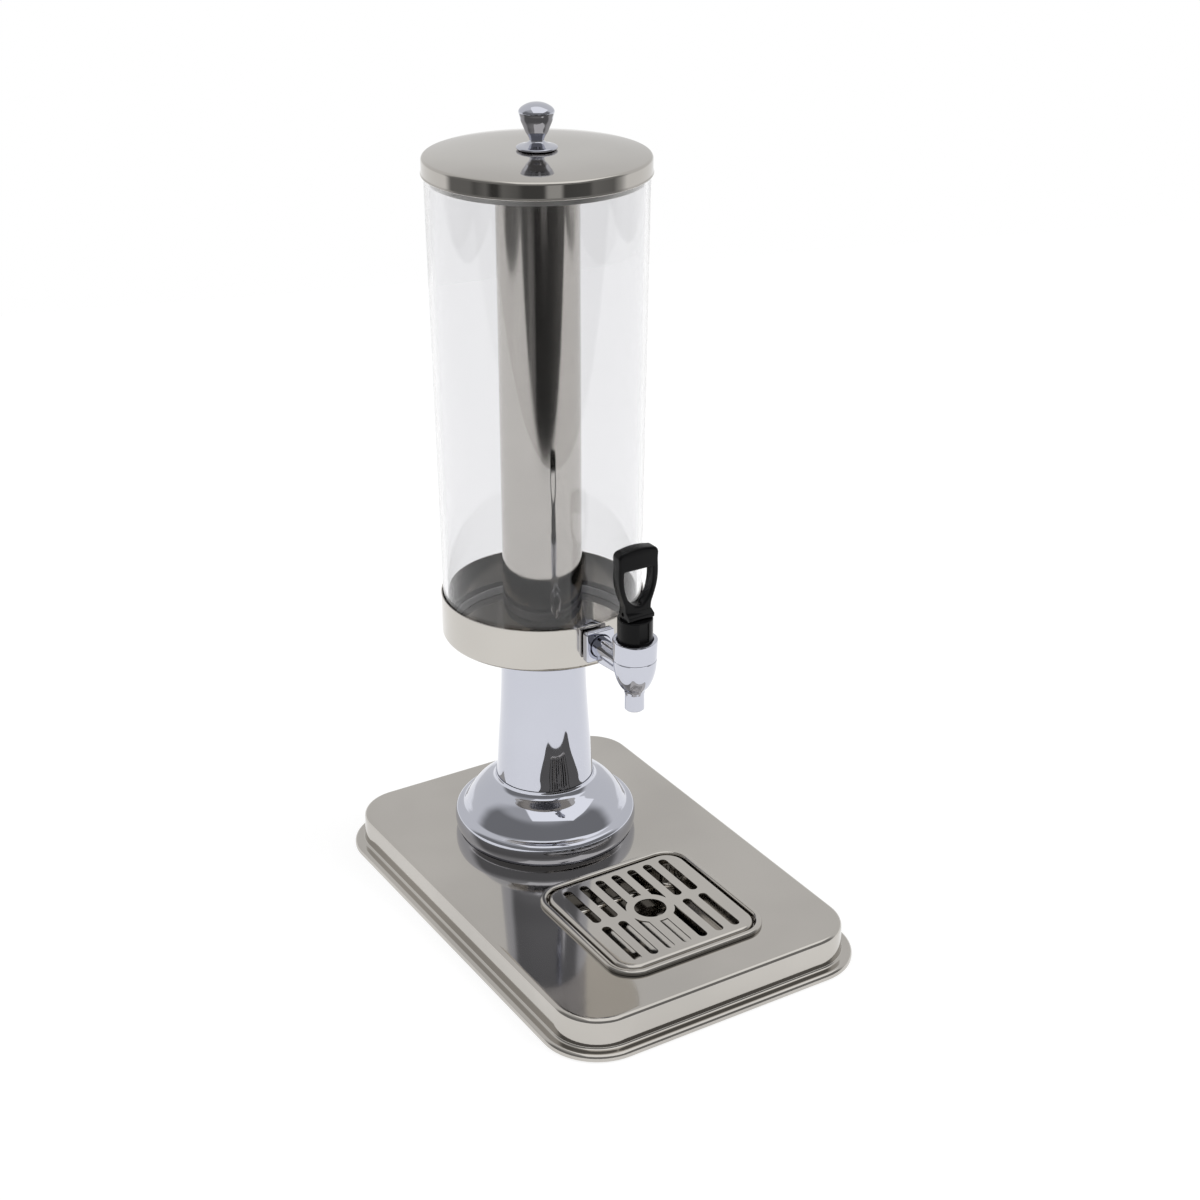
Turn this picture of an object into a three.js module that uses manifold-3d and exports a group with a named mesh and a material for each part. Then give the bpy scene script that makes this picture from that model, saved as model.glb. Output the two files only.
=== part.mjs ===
// Juice dispenser: a pressed steel base with a drip pan, a hollow column, and a clear tank
// with an ice tube, a lid and a tap that is opened by tilting its lever forward.
// Lengths are millimetres, +Z is up and the tap faces -Y.
// The origin is on the floor under the middle of the base.

import * as THREE from 'three';
import { mergeVertices } from 'three/addons/utils/BufferGeometryUtils.js';
import Module from 'manifold-3d';

const wasm = await Module();
wasm.setup();

// Shared sizes
const seatGap = 0.3;
const overrun = 4;
const weldTolerance = 0.0001;
const sheet = 0.8;

// Facet counts
const wideSteps = 36;
const middleSteps = 24;
const smallSteps = 12;
const cornerSteps = 5;
const bendSteps = 3;
const camSteps = 8;

// Base pan
const baseWidth = 220;
const baseDepth = 322;
const baseHeight = 25;
const baseCornerRadius = 37;
const baseSheet = 1;
const flangeGround = 1;
const flangeRise = 3.9;
const flangeWidth = 6.9;
const flangeEdgeRadius = 2.6;
const flangeFillet = 1.6;
const wallDraft = 0.6;
const topEdgeRadius = 3;

// Rubber feet with their screws and bosses
const padInsetX = 27;
const padInsetY = 28;
const padRadius = 10;
const padTopRadius = 9;
const padRecessRadius = 5.6;
const padRecessDepth = 8;
const padPocketDepth = 5.6;
const screwRadius = 2;
const screwHeadRadius = 4.4;
const screwHeadHeight = 2.6;
const screwFit = 0.35;
const bossRadius = 5;

// Drip pan and its grille
const panWidth = 112;
const panForward = 69.5;
const panCornerRadius = 19;
const panRimRise = 2.7;
const panRimWidth = 4;
const panRimRadius = 1.6;
const panOpeningInset = 2.8;
const panDraft = 0.2;
const panLedgeDrop = 3;
const panLedgeWidth = 4.8;
const panFloorHeight = 6.5;
const panFloorRadius = 3;
const grilleFit = 1.3;
const grilleEdgeRadius = 3;
const slotWidth = 6;
const slotColumns = 7;
const slotSideMargin = 11.2;
const slotEndMargin = 6.5;
const middleBar = 5.8;
const sightHoleRadius = 10.3;
const sightHoleRim = 5.2;

// Column and its foot
const tankSetback = 61.85;
const footRadius = 60.8;
const footHeight = 40.4;
const footSheet = 1.5;
const footNeckStep = 0.6;
const footRadiusShares = [
  0.921, 0.986, 1, 0.964, 0.907, 0.835, 0.785, 0.742, 0.649, 0.505, 0.326, 0.168, 0.075, 0.018, 0,
];
const footHeightShares = [
  0, 0.104, 0.228, 0.344, 0.399, 0.418, 0.443, 0.507, 0.611, 0.72, 0.802, 0.849, 0.881, 0.933, 1,
];
const spigotHeight = 3.5;
const columnLength = 104.7;
const columnBaseRadius = 32.3;
const columnTopRadius = 27.5;
const columnWall = 1.5;
const columnRadiusShares = [1, 0.86, 0.645, 0.42, 0.2, 0.075, 0];
const columnHeightShares = [0, 0.07, 0.23, 0.38, 0.554, 0.7, 1];

// Tie rod that clamps the column
const rodRadius = 4;
const rodFit = 0.4;
const rodNutAcross = 13;
const rodNutHeight = 6.5;
const rodWasherRadius = 12;
const rodWasherThickness = 1.6;
const rodOverhang = 3;
const stiffenerRadius = 48;
const stiffenerThickness = 4;
const trayBossThickness = 4;
const trayBossHubRadius = 10;
const trayBossHubLength = 17;
const trayBossHoleDepth = 16;

// Tank tray, seal and clear cylinder
const tankBottomRadius = 63.7;
const tankTopRadius = 67.6;
const tankHeight = 304;
const tankWall = 3;
const trayFit = 0.8;
const trayHeight = 28.8;
const trayEdgeRadius = 3;
const sealThickness = 2;
const sealLipThickness = 1.7;
const sealLipHeight = 3;

// Ice tube
const iceTubeRadius = 25.5;
const iceTubeLength = 293.9;
const iceTubeBaseRise = 6;

// Lid, plug ring and knob
const lidFit = 0.4;
const lidDepth = 9.6;
const lidEdgeRadius = 3;
const lidCrown = 3.5;
const lidShoulder = THREE.MathUtils.degToRad(12);
const lidCrownShares = [0.35, 0.55, 0.7, 0.83, 0.93];
const lidCrownPower = 4;
const lidBeadWidth = 0.8;
const lidBeadHeight = 1.6;
const plugFit = 0.5;
const plugDrop = 0.4;
const plugDepth = 13.1;
const plugFlangeWidth = 6;
const knobRadius = 10.7;
const knobHeight = 27.4;
const knobRadiusShares = [
  1.09, 1.159, 1.15, 1.04, 0.74, 0.5, 0.41, 0.48, 0.62, 0.755, 0.89, 0.945, 1, 0.91, 0.67, 0.38,
];
const knobHeightShares = [
  0, 0.024, 0.05, 0.075, 0.105, 0.145, 0.19, 0.27, 0.36, 0.49, 0.62, 0.72, 0.81, 0.872, 0.938, 0.982,
];
const knobWasherRadius = 6;
const knobWasherThickness = 1;
const knobRecessFit = 0.5;
const knobScrewRadius = 2.2;
const knobScrewHeadRadius = 4.6;
const knobScrewHeadHeight = 2.6;
const knobScrewReach = 10;

// Tap body, shank and nuts
const tapReach = 111;
const tapRise = 17;
const tapTopRise = 21.5;
const tapDrop = 26.1;
const tapRadius = 13.4;
const tapRadiusShares = [
  0.448, 0.452, 0.53, 0.672, 0.813, 0.918, 0.978, 1, 0.97, 1, 1.022, 1.034,
];
const tapHeightShares = [
  0, 0.223, 0.292, 0.342, 0.422, 0.517, 0.611, 0.71, 0.723, 0.736, 0.861, 1,
];
const spoutBoreRadius = 4;
const valveSeatRise = 19.6;
const valveSeatSlope = 2.5;
const chamberRadius = 8.4;
const collarDepth = 12.2;
const collarWall = 2.1;
const shankRadius = 7;
const neckRadius = 6;
const shankBoreRadius = 3.8;
const shankFit = 0.4;
const webWidth = 5.4;
const webDrop = 11.2;
const webEndDrop = 8.6;
const flangeNutSize = 20;
const flangeNutThickness = 5;
const outerSealRadius = 9;
const outerSealThickness = 0.8;
const innerSealRadius = 9.4;
const innerSealThickness = 2;
const lockNutAcross = 22;
const lockNutThickness = 6;
const threadOverhang = 2.5;

// Bonnet, valve and lever
const bonnetFit = 0.4;
const bonnetRise = 14.5;
const bonnetTop = 3;
const bonnetWall = 2.5;
const bonnetRecessWidth = 6.5;
const bonnetRecessHeight = 12.6;
const bonnetRecessDepth = 1.4;
const stemRadius = 2.2;
const stemFit = 0.35;
const pinRadius = 1.3;
const pinFit = 0.08;
const pinLength = 15;
const pinRise = 3.4;
const camLift = 4.5;
const leverSwing = THREE.MathUtils.degToRad(40);
const cupRadius = 6.6;
const cupHeight = 6;
const stemCollarRadius = 7.2;
const stemCollarThickness = 2;
const springRadius = 5.4;
const springWireRadius = 0.6;
const springTurns = 7;
const springTurnSteps = 8;
const springWireSides = 5;
const leverThickness = 8.4;
const leverHalfWidth = 13.8;
const leverHeight = 46.1;
const leverCornerRadius = 4;
const leverCrown = 1.2;
const leverLipHeight = 5.5;
const leverForkWidth = 5;
const leverSideShares = [0.645, 0.645, 0.672, 0.755, 0.87, 0.96, 1, 0.985];
const leverSideHeightShares = [0, 0.1, 0.2, 0.27, 0.37, 0.48, 0.6, 0.8];
const leverHoleHalfWidth = 10;
const leverHoleHeight = 23.8;
const leverHoleTopBar = 13.9;
const leverHoleShares = [0.22, 0.5, 0.76, 0.89, 0.97, 1, 1, 0.97];
const leverHoleHeightShares = [0.02, 0.12, 0.26, 0.42, 0.6, 0.75, 0.96, 1];

// Places that follow from the sizes
const trayRadius = tankBottomRadius + trayFit + sheet;
const panLedgeHeight = baseHeight - panLedgeDrop;
const grilleTop = baseHeight + seatGap + panRimRise;
const footTop = baseHeight + seatGap + footHeight;
const columnBottom = footTop + seatGap;
const columnTop = columnBottom + columnLength;
const trayBottom = columnTop + seatGap;
const trayFloor = trayBottom + sheet;
const tankBottom = trayFloor + seatGap + sealThickness + seatGap;
const tankTop = tankBottom + tankHeight;
const lidRadius = tankTopRadius + lidFit + sheet;
const lidBend = lidEdgeRadius - sheet;
const rimReach = Math.sqrt(Math.max((lidBend - seatGap) ** 2 - (lidBend - lidFit) ** 2, 0));
const lidTop = tankTop + lidEdgeRadius - rimReach;
const lidMiddle = lidTop + lidCrown;
const knobBottom = lidMiddle + seatGap;
const shankHeight = trayBottom + tapRise;
const spoutBottom = shankHeight - tapDrop;
const tapTop = shankHeight + tapTopRise;
const valveSeat = spoutBottom + valveSeatRise;
const collarBottom = tapTop - collarDepth;
const bonnetBottom = collarBottom + seatGap;
const bonnetCrown = tapTop + bonnetRise;
const bonnetRadius = tapRadius - collarWall - bonnetFit;
const pinHeight = bonnetCrown + seatGap + pinRise;
const stemCollarBottom = valveSeat + valveSeatSlope + seatGap + cupHeight;

// A finish for one piece
function finish(colour, roughness, metalness, opacity = 1) {
  const transparent = opacity < 1;
  return new THREE.MeshStandardMaterial({ color: colour, roughness, metalness, opacity, transparent });
}

const polishedSteel = () => finish('#b3aea6', 0.12, 1);
const brightChrome = () => finish('#d5d5de', 0.06, 1);
const plainSteel = () => finish('#9a9a98', 0.35, 1);
const clearPlastic = () => finish('#f1f1f6', 0.05, 0, 0.28);
const blackPlastic = () => finish('#121212', 0.22, 0);
const blackRubber = () => finish('#1d1d1d', 0.85, 0);
const whiteSilicone = () => finish('#dcdcdc', 0.6, 0);

// Turns a closed geometry into a solid, with its shared corners merged and its faces outwards
function solidFrom(geometry) {
  const bare = new THREE.BufferGeometry();
  bare.setAttribute('position', geometry.getAttribute('position'));
  bare.setIndex(geometry.getIndex());
  const merged = mergeVertices(bare, weldTolerance);
  const corners = merged.getIndex().array;
  const position = merged.getAttribute('position');
  const [a, b, c] = [new THREE.Vector3(), new THREE.Vector3(), new THREE.Vector3()];
  const triangles = [];
  let volume = 0;
  for (let i = 0; i < corners.length; i += 3) {
    const [p, q, r] = corners.slice(i, i + 3);
    if (p === q || q === r || r === p) continue;
    triangles.push(p, q, r);
    a.fromBufferAttribute(position, p);
    b.fromBufferAttribute(position, q);
    c.fromBufferAttribute(position, r);
    volume += a.dot(b.cross(c));
  }
  if (volume < 0) triangles.reverse();
  const triVerts = new Uint32Array(triangles);
  const vertProperties = new Float32Array(position.array);
  return new wasm.Manifold(new wasm.Mesh({ numProp: 3, vertProperties, triVerts }));
}

// Names a solid and gives it its finish
function piece(name, solid, material) {
  const result = solid.getMesh();
  const geometry = new THREE.BufferGeometry();
  geometry.setAttribute('position', new THREE.BufferAttribute(new Float32Array(result.vertProperties), 3));
  geometry.setIndex(new THREE.BufferAttribute(new Uint32Array(result.triVerts), 1));
  geometry.computeVertexNormals();
  const mesh = new THREE.Mesh(geometry, material);
  mesh.name = name;
  return mesh;
}

// Points of an arc from one angle to another
function arc(x, y, radius, from, to, steps = bendSteps) {
  const points = [];
  for (let i = 0; i <= steps; i += 1) {
    const angle = from + ((to - from) * i) / steps;
    points.push(new THREE.Vector2(x + radius * Math.cos(angle), y + radius * Math.sin(angle)));
  }
  return points;
}

const point = (x, y) => new THREE.Vector2(x, y);
const quarter = Math.PI / 2;

// The same line moved to its right by a distance, with mitred bends
function offsetLine(line, distance) {
  const normals = [];
  for (let i = 0; i < line.length - 1; i += 1) {
    const along = line[i + 1].clone().sub(line[i]).normalize();
    normals.push(point(along.y, -along.x));
  }
  return line.map((spot, i) => {
    const before = normals[Math.max(i - 1, 0)];
    const after = normals[Math.min(i, normals.length - 1)];
    const mitre = before.clone().add(after).divideScalar(1 + before.dot(after));
    return spot.clone().addScaledVector(mitre, distance);
  });
}

// A solid of revolution about Z from points of radius and height
function turned(profile, steps) {
  return solidFrom(new THREE.LatheGeometry(profile, steps).rotateX(quarter));
}

// A ring of revolution whose outline closes on itself
function turnedRing(profile, steps) {
  return turned([...profile, profile[0].clone()], steps);
}

// A turned sheet piece: the line is its visible side, and the sheet lies to the line's right.
// The hidden side may be plainer, with only some of the line's bends.
function turnedSheet(line, thickness, steps, keepEvery = 1) {
  const last = line.length - 1;
  const hidden = offsetLine(line, thickness).filter((_, i) => i % keepEvery === 0 || i === last);
  return turnedRing([...line, ...hidden.reverse()], steps);
}

// A plain ring or washer standing on a height
function washer(outerRadius, innerRadius, bottom, thickness, steps) {
  const top = bottom + thickness;
  const outline = [point(innerRadius, bottom), point(outerRadius, bottom), point(outerRadius, top)];
  return turnedRing([...outline, point(innerRadius, top)], steps);
}

// A round bar standing on a height
function roundBar(radius, bottom, length, steps) {
  return solidFrom(new THREE.CylinderGeometry(radius, radius, length, steps).rotateX(quarter))
    .translate(0, 0, bottom + length / 2);
}

// A round bar along Y at a height, starting at a place along Y
function levelBar(radius, start, length, height, steps) {
  const bar = new THREE.CylinderGeometry(radius, radius, length, steps).rotateY(Math.PI / steps);
  return solidFrom(bar).translate(0, start + length / 2, height);
}

// A flat outline given a thickness upwards from a height
function plate(outline, bottom, thickness) {
  const settings = { depth: thickness, bevelEnabled: false };
  return solidFrom(new THREE.ExtrudeGeometry(outline, settings)).translate(0, 0, bottom);
}

// A hexagonal nut outline with flats to the left and right, and a round hole
function hexOutline(across, holeRadius) {
  const reach = across / Math.sqrt(3);
  const outline = new THREE.Shape(arc(0, 0, reach, quarter, quarter + 4 * quarter, 6).slice(1));
  outline.holes.push(new THREE.Path(arc(0, 0, holeRadius, 0, 4 * quarter, smallSteps).slice(1)));
  return outline;
}

// One level ring of a rounded rectangle, moved in by an inset
function roundedRing(width, depth, cornerRadius, inset, height) {
  const radius = Math.max(cornerRadius - inset, sheet);
  const reachX = width / 2 - inset - radius;
  const reachY = depth / 2 - inset - radius;
  const signs = [[1, 1], [-1, 1], [-1, -1], [1, -1]];
  return signs.flatMap(([signX, signY], corner) => {
    const from = corner * quarter;
    return arc(signX * reachX, signY * reachY, radius, from, from + quarter, cornerSteps)
      .map((spot) => new THREE.Vector3(spot.x, spot.y, height));
  });
}

// A closed skin through level rings of like point counts, capped at both ends
function lofted(rings) {
  const corners = [];
  const triangles = [];
  const count = rings[0].length;
  rings.forEach((ring) => ring.forEach((spot) => corners.push(...spot.toArray())));
  for (let ring = 0; ring < rings.length - 1; ring += 1) {
    for (let i = 0; i < count; i += 1) {
      const here = ring * count + i;
      const next = ring * count + ((i + 1) % count);
      triangles.push(here, next, next + count, here, next + count, here + count);
    }
  }
  const last = (rings.length - 1) * count;
  for (let i = 1; i < count - 1; i += 1) {
    triangles.push(0, i + 1, i);
    triangles.push(last, last + i, last + i + 1);
  }
  const geometry = new THREE.BufferGeometry();
  geometry.setAttribute('position', new THREE.Float32BufferAttribute(corners, 3));
  geometry.setIndex(triangles);
  return solidFrom(geometry);
}

// A pressed sheet piece with a rounded rectangular outline, from a line of inset and height
function pressedSheet(line, thickness, width, depth, cornerRadius) {
  const ring = (spot) => roundedRing(width, depth, cornerRadius, spot.x, spot.y);
  const hidden = offsetLine(line, thickness).reverse();
  return lofted([...hidden.map(ring), ...line.map(ring)]);
}

// A rounded rectangular block for cutting
function roundedBlock(width, depth, cornerRadius, inset, bottom, top) {
  const ring = (height) => roundedRing(width, depth, cornerRadius, inset, height);
  return lofted([ring(bottom), ring(top)]);
}

// The pressed base with its flange, and openings for the drip pan and the tie rod
function basePan() {
  const flangeTop = flangeGround + flangeRise;
  const wallTop = flangeWidth + wallDraft;
  const edgeCentre = baseHeight - topEdgeRadius;
  const line = [
    point(0, flangeGround),
    ...arc(flangeEdgeRadius, flangeTop - flangeEdgeRadius, flangeEdgeRadius, Math.PI, quarter),
    ...arc(flangeWidth - flangeFillet, flangeTop + flangeFillet, flangeFillet, -quarter, 0, 2),
    ...arc(wallTop + topEdgeRadius, edgeCentre, topEdgeRadius, Math.PI, quarter),
  ];
  const opening = roundedBlock(
    panWidth, panWidth, panCornerRadius, panOpeningInset, panFloorHeight, baseHeight + overrun,
  ).translate(0, -panForward, 0);
  const rodHole = roundBar(rodRadius + rodFit, flangeGround, baseHeight + overrun, smallSteps)
    .translate(0, tankSetback, 0);
  return pressedSheet(line, baseSheet, baseWidth, baseDepth, baseCornerRadius)
    .subtract(opening)
    .subtract(rodHole);
}

// One rubber foot, hollow for its screw head and for the boss that it is screwed to
function rubberFoot() {
  const top = baseHeight - baseSheet - seatGap;
  const pocket = top - padPocketDepth;
  const bore = screwRadius + screwFit;
  return turnedRing([
    point(padRecessRadius, 0),
    point(padRadius, 0),
    point(padTopRadius, top),
    point(bossRadius + seatGap, top),
    point(bossRadius + seatGap, pocket),
    point(bore, pocket),
    point(bore, padRecessDepth),
    point(padRecessRadius, padRecessDepth),
  ], smallSteps);
}

// The threaded boss under the top plate that holds one rubber foot
function footBoss() {
  const top = baseHeight - baseSheet - seatGap;
  const bottom = top - padPocketDepth + seatGap;
  return washer(bossRadius, screwRadius + screwFit, bottom, top - bottom, smallSteps);
}

// A pan-head screw that points up from the seat under its head
function screw(radius, headRadius, headHeight, seat, tip) {
  const shaft = roundBar(radius, seat - headHeight / 2, tip - seat + headHeight / 2, smallSteps);
  return roundBar(headRadius, seat - headHeight, headHeight, smallSteps).add(shaft);
}

// The four rubber feet with their screws and bosses
function footSets() {
  const group = new THREE.Group();
  const places = { front_left: [-1, -1], front_right: [1, -1], rear_left: [-1, 1], rear_right: [1, 1] };
  const tip = baseHeight - baseSheet - seatGap - screwFit;
  Object.entries(places).forEach(([place, [signX, signY]]) => {
    const set = new THREE.Group();
    const seat = padRecessDepth - seatGap;
    set.add(piece(`rubber_foot_${place}`, rubberFoot(), blackRubber()));
    set.add(piece(`foot_boss_${place}`, footBoss(), plainSteel()));
    set.add(piece(
      `foot_screw_${place}`, screw(screwRadius, screwHeadRadius, screwHeadHeight, seat, tip), plainSteel(),
    ));
    set.position.set(signX * (baseWidth / 2 - padInsetX), signY * (baseDepth / 2 - padInsetY), 0);
    group.add(set);
  });
  return group;
}

// The drip pan: a rolled rim on the base, a ledge for the grille and a well below it
function dripPan() {
  const rimTop = baseHeight + seatGap + panRimRise;
  const ledgeInset = panRimWidth + panDraft;
  const wellInset = ledgeInset + panLedgeWidth;
  const line = [
    point(0, baseHeight + seatGap),
    ...arc(panRimRadius, rimTop - panRimRadius, panRimRadius, Math.PI, quarter),
    ...arc(panRimWidth - panRimRadius, rimTop - panRimRadius, panRimRadius, quarter, 0),
    point(ledgeInset, panLedgeHeight),
    point(wellInset, panLedgeHeight),
    ...arc(
      wellInset + panDraft + panFloorRadius, panFloorHeight + panFloorRadius,
      panFloorRadius, Math.PI, Math.PI + quarter,
    ),
  ];
  return pressedSheet(line, sheet, panWidth, panWidth, panCornerRadius);
}

// One round-ended slot between two places along Y
function slotCutter(x, start, end) {
  const radius = slotWidth / 2;
  const outline = new THREE.Shape([
    ...arc(x, end - radius, radius, 0, Math.PI),
    ...arc(x, start + radius, radius, Math.PI, 2 * Math.PI),
  ]);
  return plate(outline, panFloorHeight, grilleTop);
}

// The grille: a plate with a turned-down edge, two rows of slots and a round sight hole
function dripGrille() {
  const width = panWidth - 2 * (panRimWidth + panDraft + grilleFit);
  const radius = panCornerRadius - panRimWidth - panDraft - grilleFit;
  const line = [
    point(0, panLedgeHeight + seatGap),
    ...arc(grilleEdgeRadius, grilleTop - grilleEdgeRadius, grilleEdgeRadius, Math.PI, quarter),
  ];
  const rim = roundBar(sightHoleRadius + sightHoleRim, 0, baseHeight + grilleTop, middleSteps);
  const hole = roundBar(sightHoleRadius, panFloorHeight, grilleTop, middleSteps);
  const reach = width / 2 - slotEndMargin;
  const firstColumn = (width - slotWidth) / 2 - slotSideMargin;
  const pitch = (2 * firstColumn) / (slotColumns - 1);
  let grille = pressedSheet(line, sheet, width, width, radius);
  for (let column = 0; column < slotColumns; column += 1) {
    const x = column * pitch - firstColumn;
    const rear = slotCutter(x, middleBar / 2, reach).subtract(rim);
    const front = slotCutter(x, -reach, -middleBar / 2).subtract(rim);
    grille = grille.subtract(rear).subtract(front);
  }
  return grille.subtract(hole);
}

// The outer radius of the column at a share of its length
function columnRadius(share) {
  const last = columnHeightShares.length - 1;
  const upper = Math.min(Math.max(columnHeightShares.findIndex((value) => value >= share), 1), last);
  const [low, high] = [columnHeightShares[upper - 1], columnHeightShares[upper]];
  const [start, end] = [columnRadiusShares[upper - 1], columnRadiusShares[upper]];
  const radiusShare = start + ((end - start) * (share - low)) / (high - low);
  return columnTopRadius + (columnBaseRadius - columnTopRadius) * radiusShare;
}

// The spun foot: a bulging edge, a lip, a dome and a spigot that centres the column
function columnFoot() {
  const neck = columnBaseRadius + footNeckStep;
  const bottom = baseHeight + seatGap;
  const spigotTop = footTop + spigotHeight;
  const spigotShare = (spigotTop - columnBottom) / columnLength;
  const spigotRadius = columnRadius(spigotShare) - columnWall - seatGap;
  const line = footRadiusShares.map((share, i) => point(
    neck + (footRadius - neck) * share,
    bottom + footHeight * footHeightShares[i],
  ));
  line.push(point(spigotRadius, footTop));
  line.push(point(spigotRadius, spigotTop));
  line.push(point(rodRadius + rodFit, spigotTop));
  return turnedSheet(line.reverse(), footSheet, wideSteps, 2);
}

// The tapering column tube
function columnTube() {
  const line = columnHeightShares.map((share) => point(
    columnRadius(share), columnBottom + columnLength * share,
  ));
  const inner = line.map((spot) => point(spot.x - columnWall, spot.y));
  return turnedRing([...line, ...inner.reverse()], wideSteps);
}

// The boss under the tray that centres the column and takes the tie rod in a blind hole
function trayBoss() {
  const top = trayBottom - seatGap;
  const radius = columnTopRadius - columnWall - seatGap;
  const bore = rodRadius + rodFit;
  const hubBottom = top - trayBossHubLength;
  return turned([
    point(0, top),
    point(radius, top),
    point(radius, top - trayBossThickness),
    point(trayBossHubRadius, top - trayBossThickness),
    point(trayBossHubRadius, hubBottom),
    point(bore, hubBottom),
    point(bore, hubBottom + trayBossHoleDepth),
    point(0, hubBottom + trayBossHoleDepth),
  ], middleSteps);
}

// The column with its foot, and the rod, nut, washer and stiffener that clamp it to the base
function columnGroup() {
  const group = new THREE.Group();
  const stiffenerBottom = baseHeight - baseSheet - seatGap - stiffenerThickness;
  const washerBottom = stiffenerBottom - seatGap - rodWasherThickness;
  const nutBottom = washerBottom - seatGap - rodNutHeight;
  const rodBottom = nutBottom - rodOverhang;
  const rodTop = trayBottom - seatGap - trayBossHubLength + trayBossHoleDepth - seatGap;
  const bore = rodRadius + rodFit;
  group.add(piece('column_foot', columnFoot(), brightChrome()));
  group.add(piece('column_tube', columnTube(), brightChrome()));
  group.add(piece('tray_boss', trayBoss(), plainSteel()));
  group.add(piece(
    'base_stiffener', washer(stiffenerRadius, bore, stiffenerBottom, stiffenerThickness, middleSteps),
    plainSteel(),
  ));
  group.add(piece(
    'rod_washer', washer(rodWasherRadius, bore, washerBottom, rodWasherThickness, smallSteps), plainSteel(),
  ));
  group.add(piece('rod_nut', plate(hexOutline(rodNutAcross, bore), nutBottom, rodNutHeight), plainSteel()));
  group.add(piece('tie_rod', roundBar(rodRadius, rodBottom, rodTop - rodBottom, smallSteps), plainSteel()));
  return group;
}

// A cutter for the shank's way through the front of the tank
function shankHole() {
  const start = -trayRadius - overrun;
  return levelBar(shankRadius + shankFit, start, trayRadius + overrun, shankHeight, smallSteps);
}

// The drawn steel tray that holds the clear cylinder
function tankTray() {
  const edgeCentre = trayBottom + trayEdgeRadius;
  const bend = arc(trayRadius - trayEdgeRadius, edgeCentre, trayEdgeRadius, -quarter, 0);
  const outer = [point(0, trayBottom), ...bend, point(trayRadius, trayBottom + trayHeight)];
  const inner = offsetLine(outer, -sheet).reverse();
  return turned([...outer, ...inner], wideSteps).subtract(shankHole());
}

// The silicone seal under the cylinder, with a lip inside it
function tankSeal() {
  const bottom = trayFloor + seatGap;
  const outer = tankBottomRadius + seatGap;
  const lipOuter = tankBottomRadius - tankWall - seatGap;
  const lipInner = lipOuter - sealLipThickness;
  const top = bottom + sealThickness;
  return turnedRing([
    point(lipInner, bottom),
    point(outer - trayEdgeRadius, bottom),
    point(outer, bottom + sealThickness / 2),
    point(outer, top),
    point(lipOuter, top),
    point(lipOuter, top + sealLipHeight),
    point(lipInner, top + sealLipHeight),
  ], wideSteps);
}

// The inner radius of the clear cylinder at a height
function tankBore(height) {
  const share = (height - tankBottom) / tankHeight;
  return tankBottomRadius + (tankTopRadius - tankBottomRadius) * share - tankWall;
}

// The clear cylinder, slightly wider at its top
function tankCylinder() {
  return turnedRing([
    point(tankBottomRadius, tankBottom),
    point(tankTopRadius, tankTop),
    point(tankTopRadius - tankWall, tankTop),
    point(tankBottomRadius - tankWall, tankBottom),
  ], wideSteps).subtract(shankHole());
}

// The ice tube and the pressed cap that closes its foot
function iceTubeGroup() {
  const group = new THREE.Group();
  const bottom = trayFloor + seatGap;
  const capRadius = iceTubeRadius - sheet - seatGap;
  const capFloor = bottom + iceTubeBaseRise;
  const tube = washer(iceTubeRadius, iceTubeRadius - sheet, bottom, iceTubeLength, middleSteps);
  const capLine = [point(capRadius, bottom), point(capRadius, capFloor), point(0, capFloor)];
  const capHidden = [
    point(0, capFloor - sheet),
    point(capRadius - sheet, capFloor - sheet),
    point(capRadius - sheet, bottom),
  ];
  const cap = turned([...capHidden, ...capLine], middleSteps);
  group.add(piece('ice_tube', tube, polishedSteel()));
  group.add(piece('ice_tube_base', cap, polishedSteel()));
  return group;
}

// The lid shell: a crowned top, a rounded shoulder and a skirt with a beaded lower edge
function lid() {
  const skirtBottom = lidTop - lidDepth;
  const bendX = lidRadius - lidEdgeRadius;
  const shoulder = arc(bendX, lidTop - lidEdgeRadius, lidEdgeRadius, quarter - lidShoulder, 0);
  const rim = shoulder[0];
  const crown = lidCrownShares.map((share) => point(
    rim.x * share, lidMiddle - (lidMiddle - rim.y) * share ** lidCrownPower,
  ));
  const line = [
    point(knobScrewRadius + screwFit, lidMiddle),
    ...crown,
    ...shoulder,
    point(lidRadius, skirtBottom + lidBeadHeight),
    point(lidRadius + lidBeadWidth, skirtBottom),
  ];
  return turnedSheet(line, sheet, wideSteps);
}

// The ring under the lid that plugs into the cylinder
function lidPlugRing() {
  const top = lidTop - plugDrop - seatGap;
  const bottom = top - plugDepth;
  const radius = tankBore(bottom) - plugFit;
  const line = [point(radius - plugFlangeWidth, top), point(radius, top), point(radius, bottom)];
  return turnedSheet(line, sheet, wideSteps);
}

// The turned knob with a blind hole for its screw and a recess below for its washer
function knob() {
  const bore = knobScrewRadius + screwFit;
  const recess = knobWasherRadius + knobRecessFit;
  const recessTop = knobBottom + knobWasherThickness + seatGap;
  const outline = knobRadiusShares.map((share, i) => point(
    knobRadius * share, knobBottom + knobHeight * knobHeightShares[i],
  ));
  return turned([
    point(0, knobBottom + knobScrewReach + seatGap),
    point(bore, knobBottom + knobScrewReach + seatGap),
    point(bore, recessTop),
    point(recess, recessTop),
    point(recess, knobBottom),
    ...outline,
    point(0, knobBottom + knobHeight),
  ], middleSteps);
}

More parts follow.
